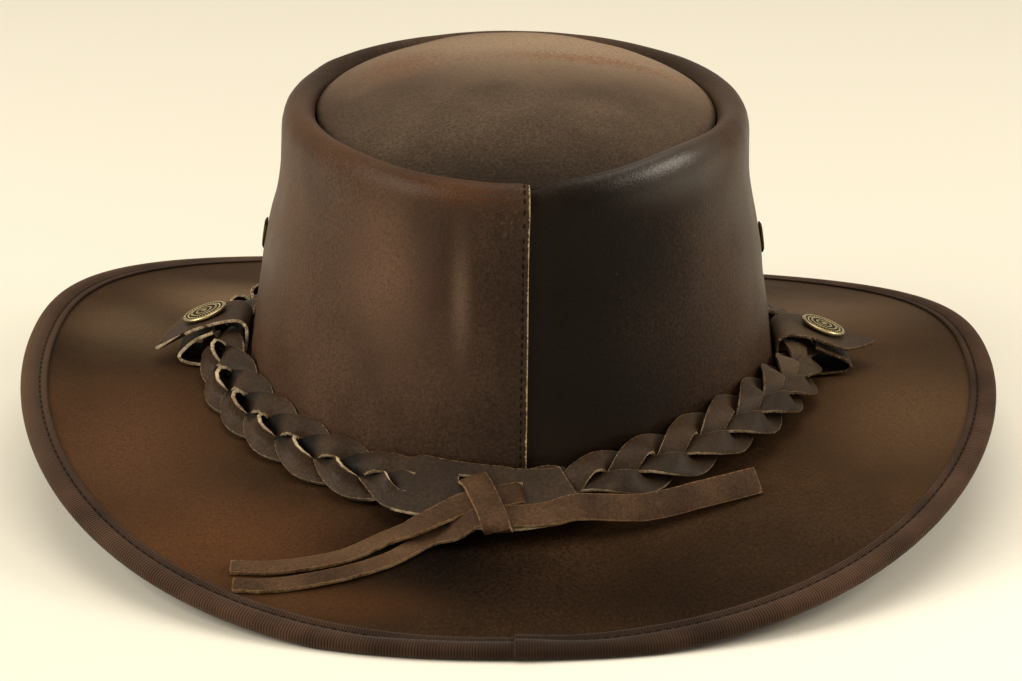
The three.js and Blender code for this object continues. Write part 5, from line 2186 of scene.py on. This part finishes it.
@dataclass(frozen=True)
class VentEyelet:
    """Pressed brass eyelet in the side of the crown."""

    side: Side
    flange: float = 5.2
    bore: float = 1.7
    proud: float = 1.1
    barrel: float = 0.5
    clearance: float = 0.1
    slope_span: float = 3.0
    steps: int = 48

    def build(self) -> None:
        """Turns the eyelet and sets it in the wall."""
        turn, side = self.side.turn, self.side.value
        low, high = FORM.eyelet_up - self.slope_span, FORM.eyelet_up + self.slope_span
        slope = FORM.drawn_in(turn, high) - FORM.drawn_in(turn, low)
        axis = Vector((side, 0, slope / (2 * self.slope_span))).normalized()
        shift = FORM.crown_shift * FORM.eyelet_up / (FORM.crest(turn) - FORM.foot_rise)
        reach = FORM.head_side - FORM.drawn_in(turn, FORM.eyelet_up)
        height = FORM.foot_z + FORM.gap + FORM.foot_rise + FORM.eyelet_up
        seat = seat_of(Vector((side * reach + shift, 0, height)), Vector((0, 1, 0)), axis)
        label = self.side.label
        set_metal(turned(self.profile(), self.steps, closed=True), seat, f"eyelet_{label}_brass",
                  f"vent_eyelet_{label}", Finish.BROWNED)

    def profile(self) -> tuple[Pair, ...]:
        """Section of the eyelet.

        Returns:
            Radius and height of each corner, from the barrel's inner end round to the flange's bore.
        """
        inside = -FORM.wall - 2 * FORM.gap
        return (
            (self.bore, inside - self.barrel), (0.8 * self.flange, inside - self.barrel),
            (0.8 * self.flange, inside), (self.bore + self.barrel, inside),
            (self.bore + self.barrel, self.clearance), (self.flange, self.clearance),
            (self.flange * 0.97, 0.55 * self.proud), (self.flange * 0.8, 0.95 * self.proud),
            (self.flange * 0.58, self.proud), (self.bore * 1.25, 0.6 * self.proud),
            (self.bore, self.clearance),
        )


@dataclass(frozen=True)
class Softbox:
    """Square studio light: where it stands and looks, in metres, its size, power and colour."""

    name: str
    place: Triple
    size: float
    power: float
    colour: str = "#fff6e4"
    aim: Triple = (0, 0, 0.06)

    def build(self) -> None:
        """Sets the light, turned to the hat."""
        data = bpy.data.lights.new(self.name, "AREA")
        data.size = self.size
        data.energy = self.power
        data.color = linear(self.colour)[:3]
        light = bpy.data.objects.new(self.name, data)
        light.location = self.place
        away = Vector(self.aim) - light.location
        light.rotation_euler = away.to_track_quat("-Z", "Y").to_euler()
        bpy.context.scene.collection.objects.link(light)


@dataclass(frozen=True)
class Studio:
    """Pale floor, soft lights and the camera at the photograph's angle."""

    azimuth: float = -0.0129
    elevation: float = 0.3345
    roll: float = 0.0122
    distance: float = 1.0
    focal_pixels: float = 3002.5
    target: Triple = (-0.02, -3.6, 33.94)
    sensor: float = 36.0
    floor_size: float = 8.0
    floor_colour: str = "#e8e8e0"
    floor_shade: str = "#e2e2da"
    floor_cloud: float = 1.2
    # Painted pool of light on the floor at the camera's right.
    floor_light_pool: Patch = Patch("#fffffa", (320, -260, 0), (560, 560, 560), 1.0, 0.0)
    room_colour: str = "#ffecd2"
    room_strength: float = 0.5
    lights: tuple[Softbox, ...] = (
        Softbox("softbox_left", (-1.25, -0.5, 0.85), 0.9, 17),
        Softbox("softbox_right", (1.2, -0.12, 0.82), 0.6, 8),
        Softbox("softbox_top", (0.0, 0.2, 1.7), 1.4, 12.5),
    )

    def camera(self) -> None:
        """Sets the camera."""
        azimuth, elevation = self.azimuth, self.elevation
        back = Vector((math.sin(azimuth) * math.cos(elevation), -math.cos(azimuth) * math.cos(elevation),
                       math.sin(elevation)))
        right = Vector((math.cos(azimuth), math.sin(azimuth), 0))
        up = back.cross(right)
        level = right * math.cos(self.roll) + up * math.sin(self.roll)
        data = bpy.data.cameras.new("camera")
        data.sensor_width = self.sensor
        data.lens = self.sensor * self.focal_pixels / IMAGE_WIDTH
        camera = bpy.data.objects.new("camera", data)
        turned = Matrix((level, back.cross(level), back)).transposed().to_4x4()
        camera.matrix_world = Matrix.Translation(Vector(self.target) * MM + back * self.distance) @ turned
        bpy.context.scene.collection.objects.link(camera)
        bpy.context.scene.camera = camera

    def floor(self) -> None:
        """Lays the floor."""
        mesh = bmesh.new()
        bmesh.ops.create_grid(mesh, x_segments=1, y_segments=1, size=self.floor_size / 2)
        # Matt paper: pale with faint clouds and no gloss, with a painted pool of light at the camera's
        # right.
        material, tree, place = started("pale_paper")
        cloud = add(tree, "TexNoise", {"Vector": place, "Scale": self.floor_cloud, "Detail": 2.0})
        layers = [(cloud, self.floor_colour), self.floor_light_pool.layer(tree, place, cloud)]
        colour = layered(tree, linear(self.floor_shade), layers)
        shaded(material, {"Base Color": colour, "Roughness": 0.95, "Specular IOR Level": 0.1})
        made_object("floor", mesh, [material])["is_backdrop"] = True

    def world(self) -> None:
        """Fills the room with soft light."""
        world = bpy.data.worlds.new("room")
        world.use_nodes = True
        light = world.node_tree.nodes["Background"]
        fill(world.node_tree, light, {"Color": linear(self.room_colour), "Strength": self.room_strength})
        bpy.context.scene.world = world
        bpy.context.scene.view_settings.view_transform = "Standard"

    def build(self) -> None:
        """Sets up the whole studio."""
        self.camera()
        self.floor()
        self.world()
        for light in self.lights:
            light.build()


def write_sizes() -> None:
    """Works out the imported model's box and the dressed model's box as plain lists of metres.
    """
    boxes = {"cad": CAD_BOX, "visual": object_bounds()}
    plain = {name: [list(corner) for corner in box] for name, box in boxes.items()}


def main() -> None:
    """Builds the studio and the hat's pieces in order."""
    logging.basicConfig(level=logging.INFO, format="%(name)s: %(message)s")
    log.info("packed nodes: %d", len(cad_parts))
    Studio().build()
    route = BandRoute()
    lace = TieLace(route)
    pieces = (
        CrownPanel(), TipPanel(), BrimPanel(), RibbonBinding(), BraidedBand(route, lace.slits),
        Keeper(Side.RIGHT, route, upturn=0.3, tip_cut=0.12, tip_across=0.42),
        Keeper(Side.LEFT, route, reach=31.5, back_width=10.5, rise=2.3, cap_tilt=0.5),
        VentEyelet(Side.RIGHT), VentEyelet(Side.LEFT), lace,
    )
    for piece in pieces:
        piece.build()
        log.info("built %s", type(piece).__name__)
    write_sizes()


if __name__ == "__main__":
    main()
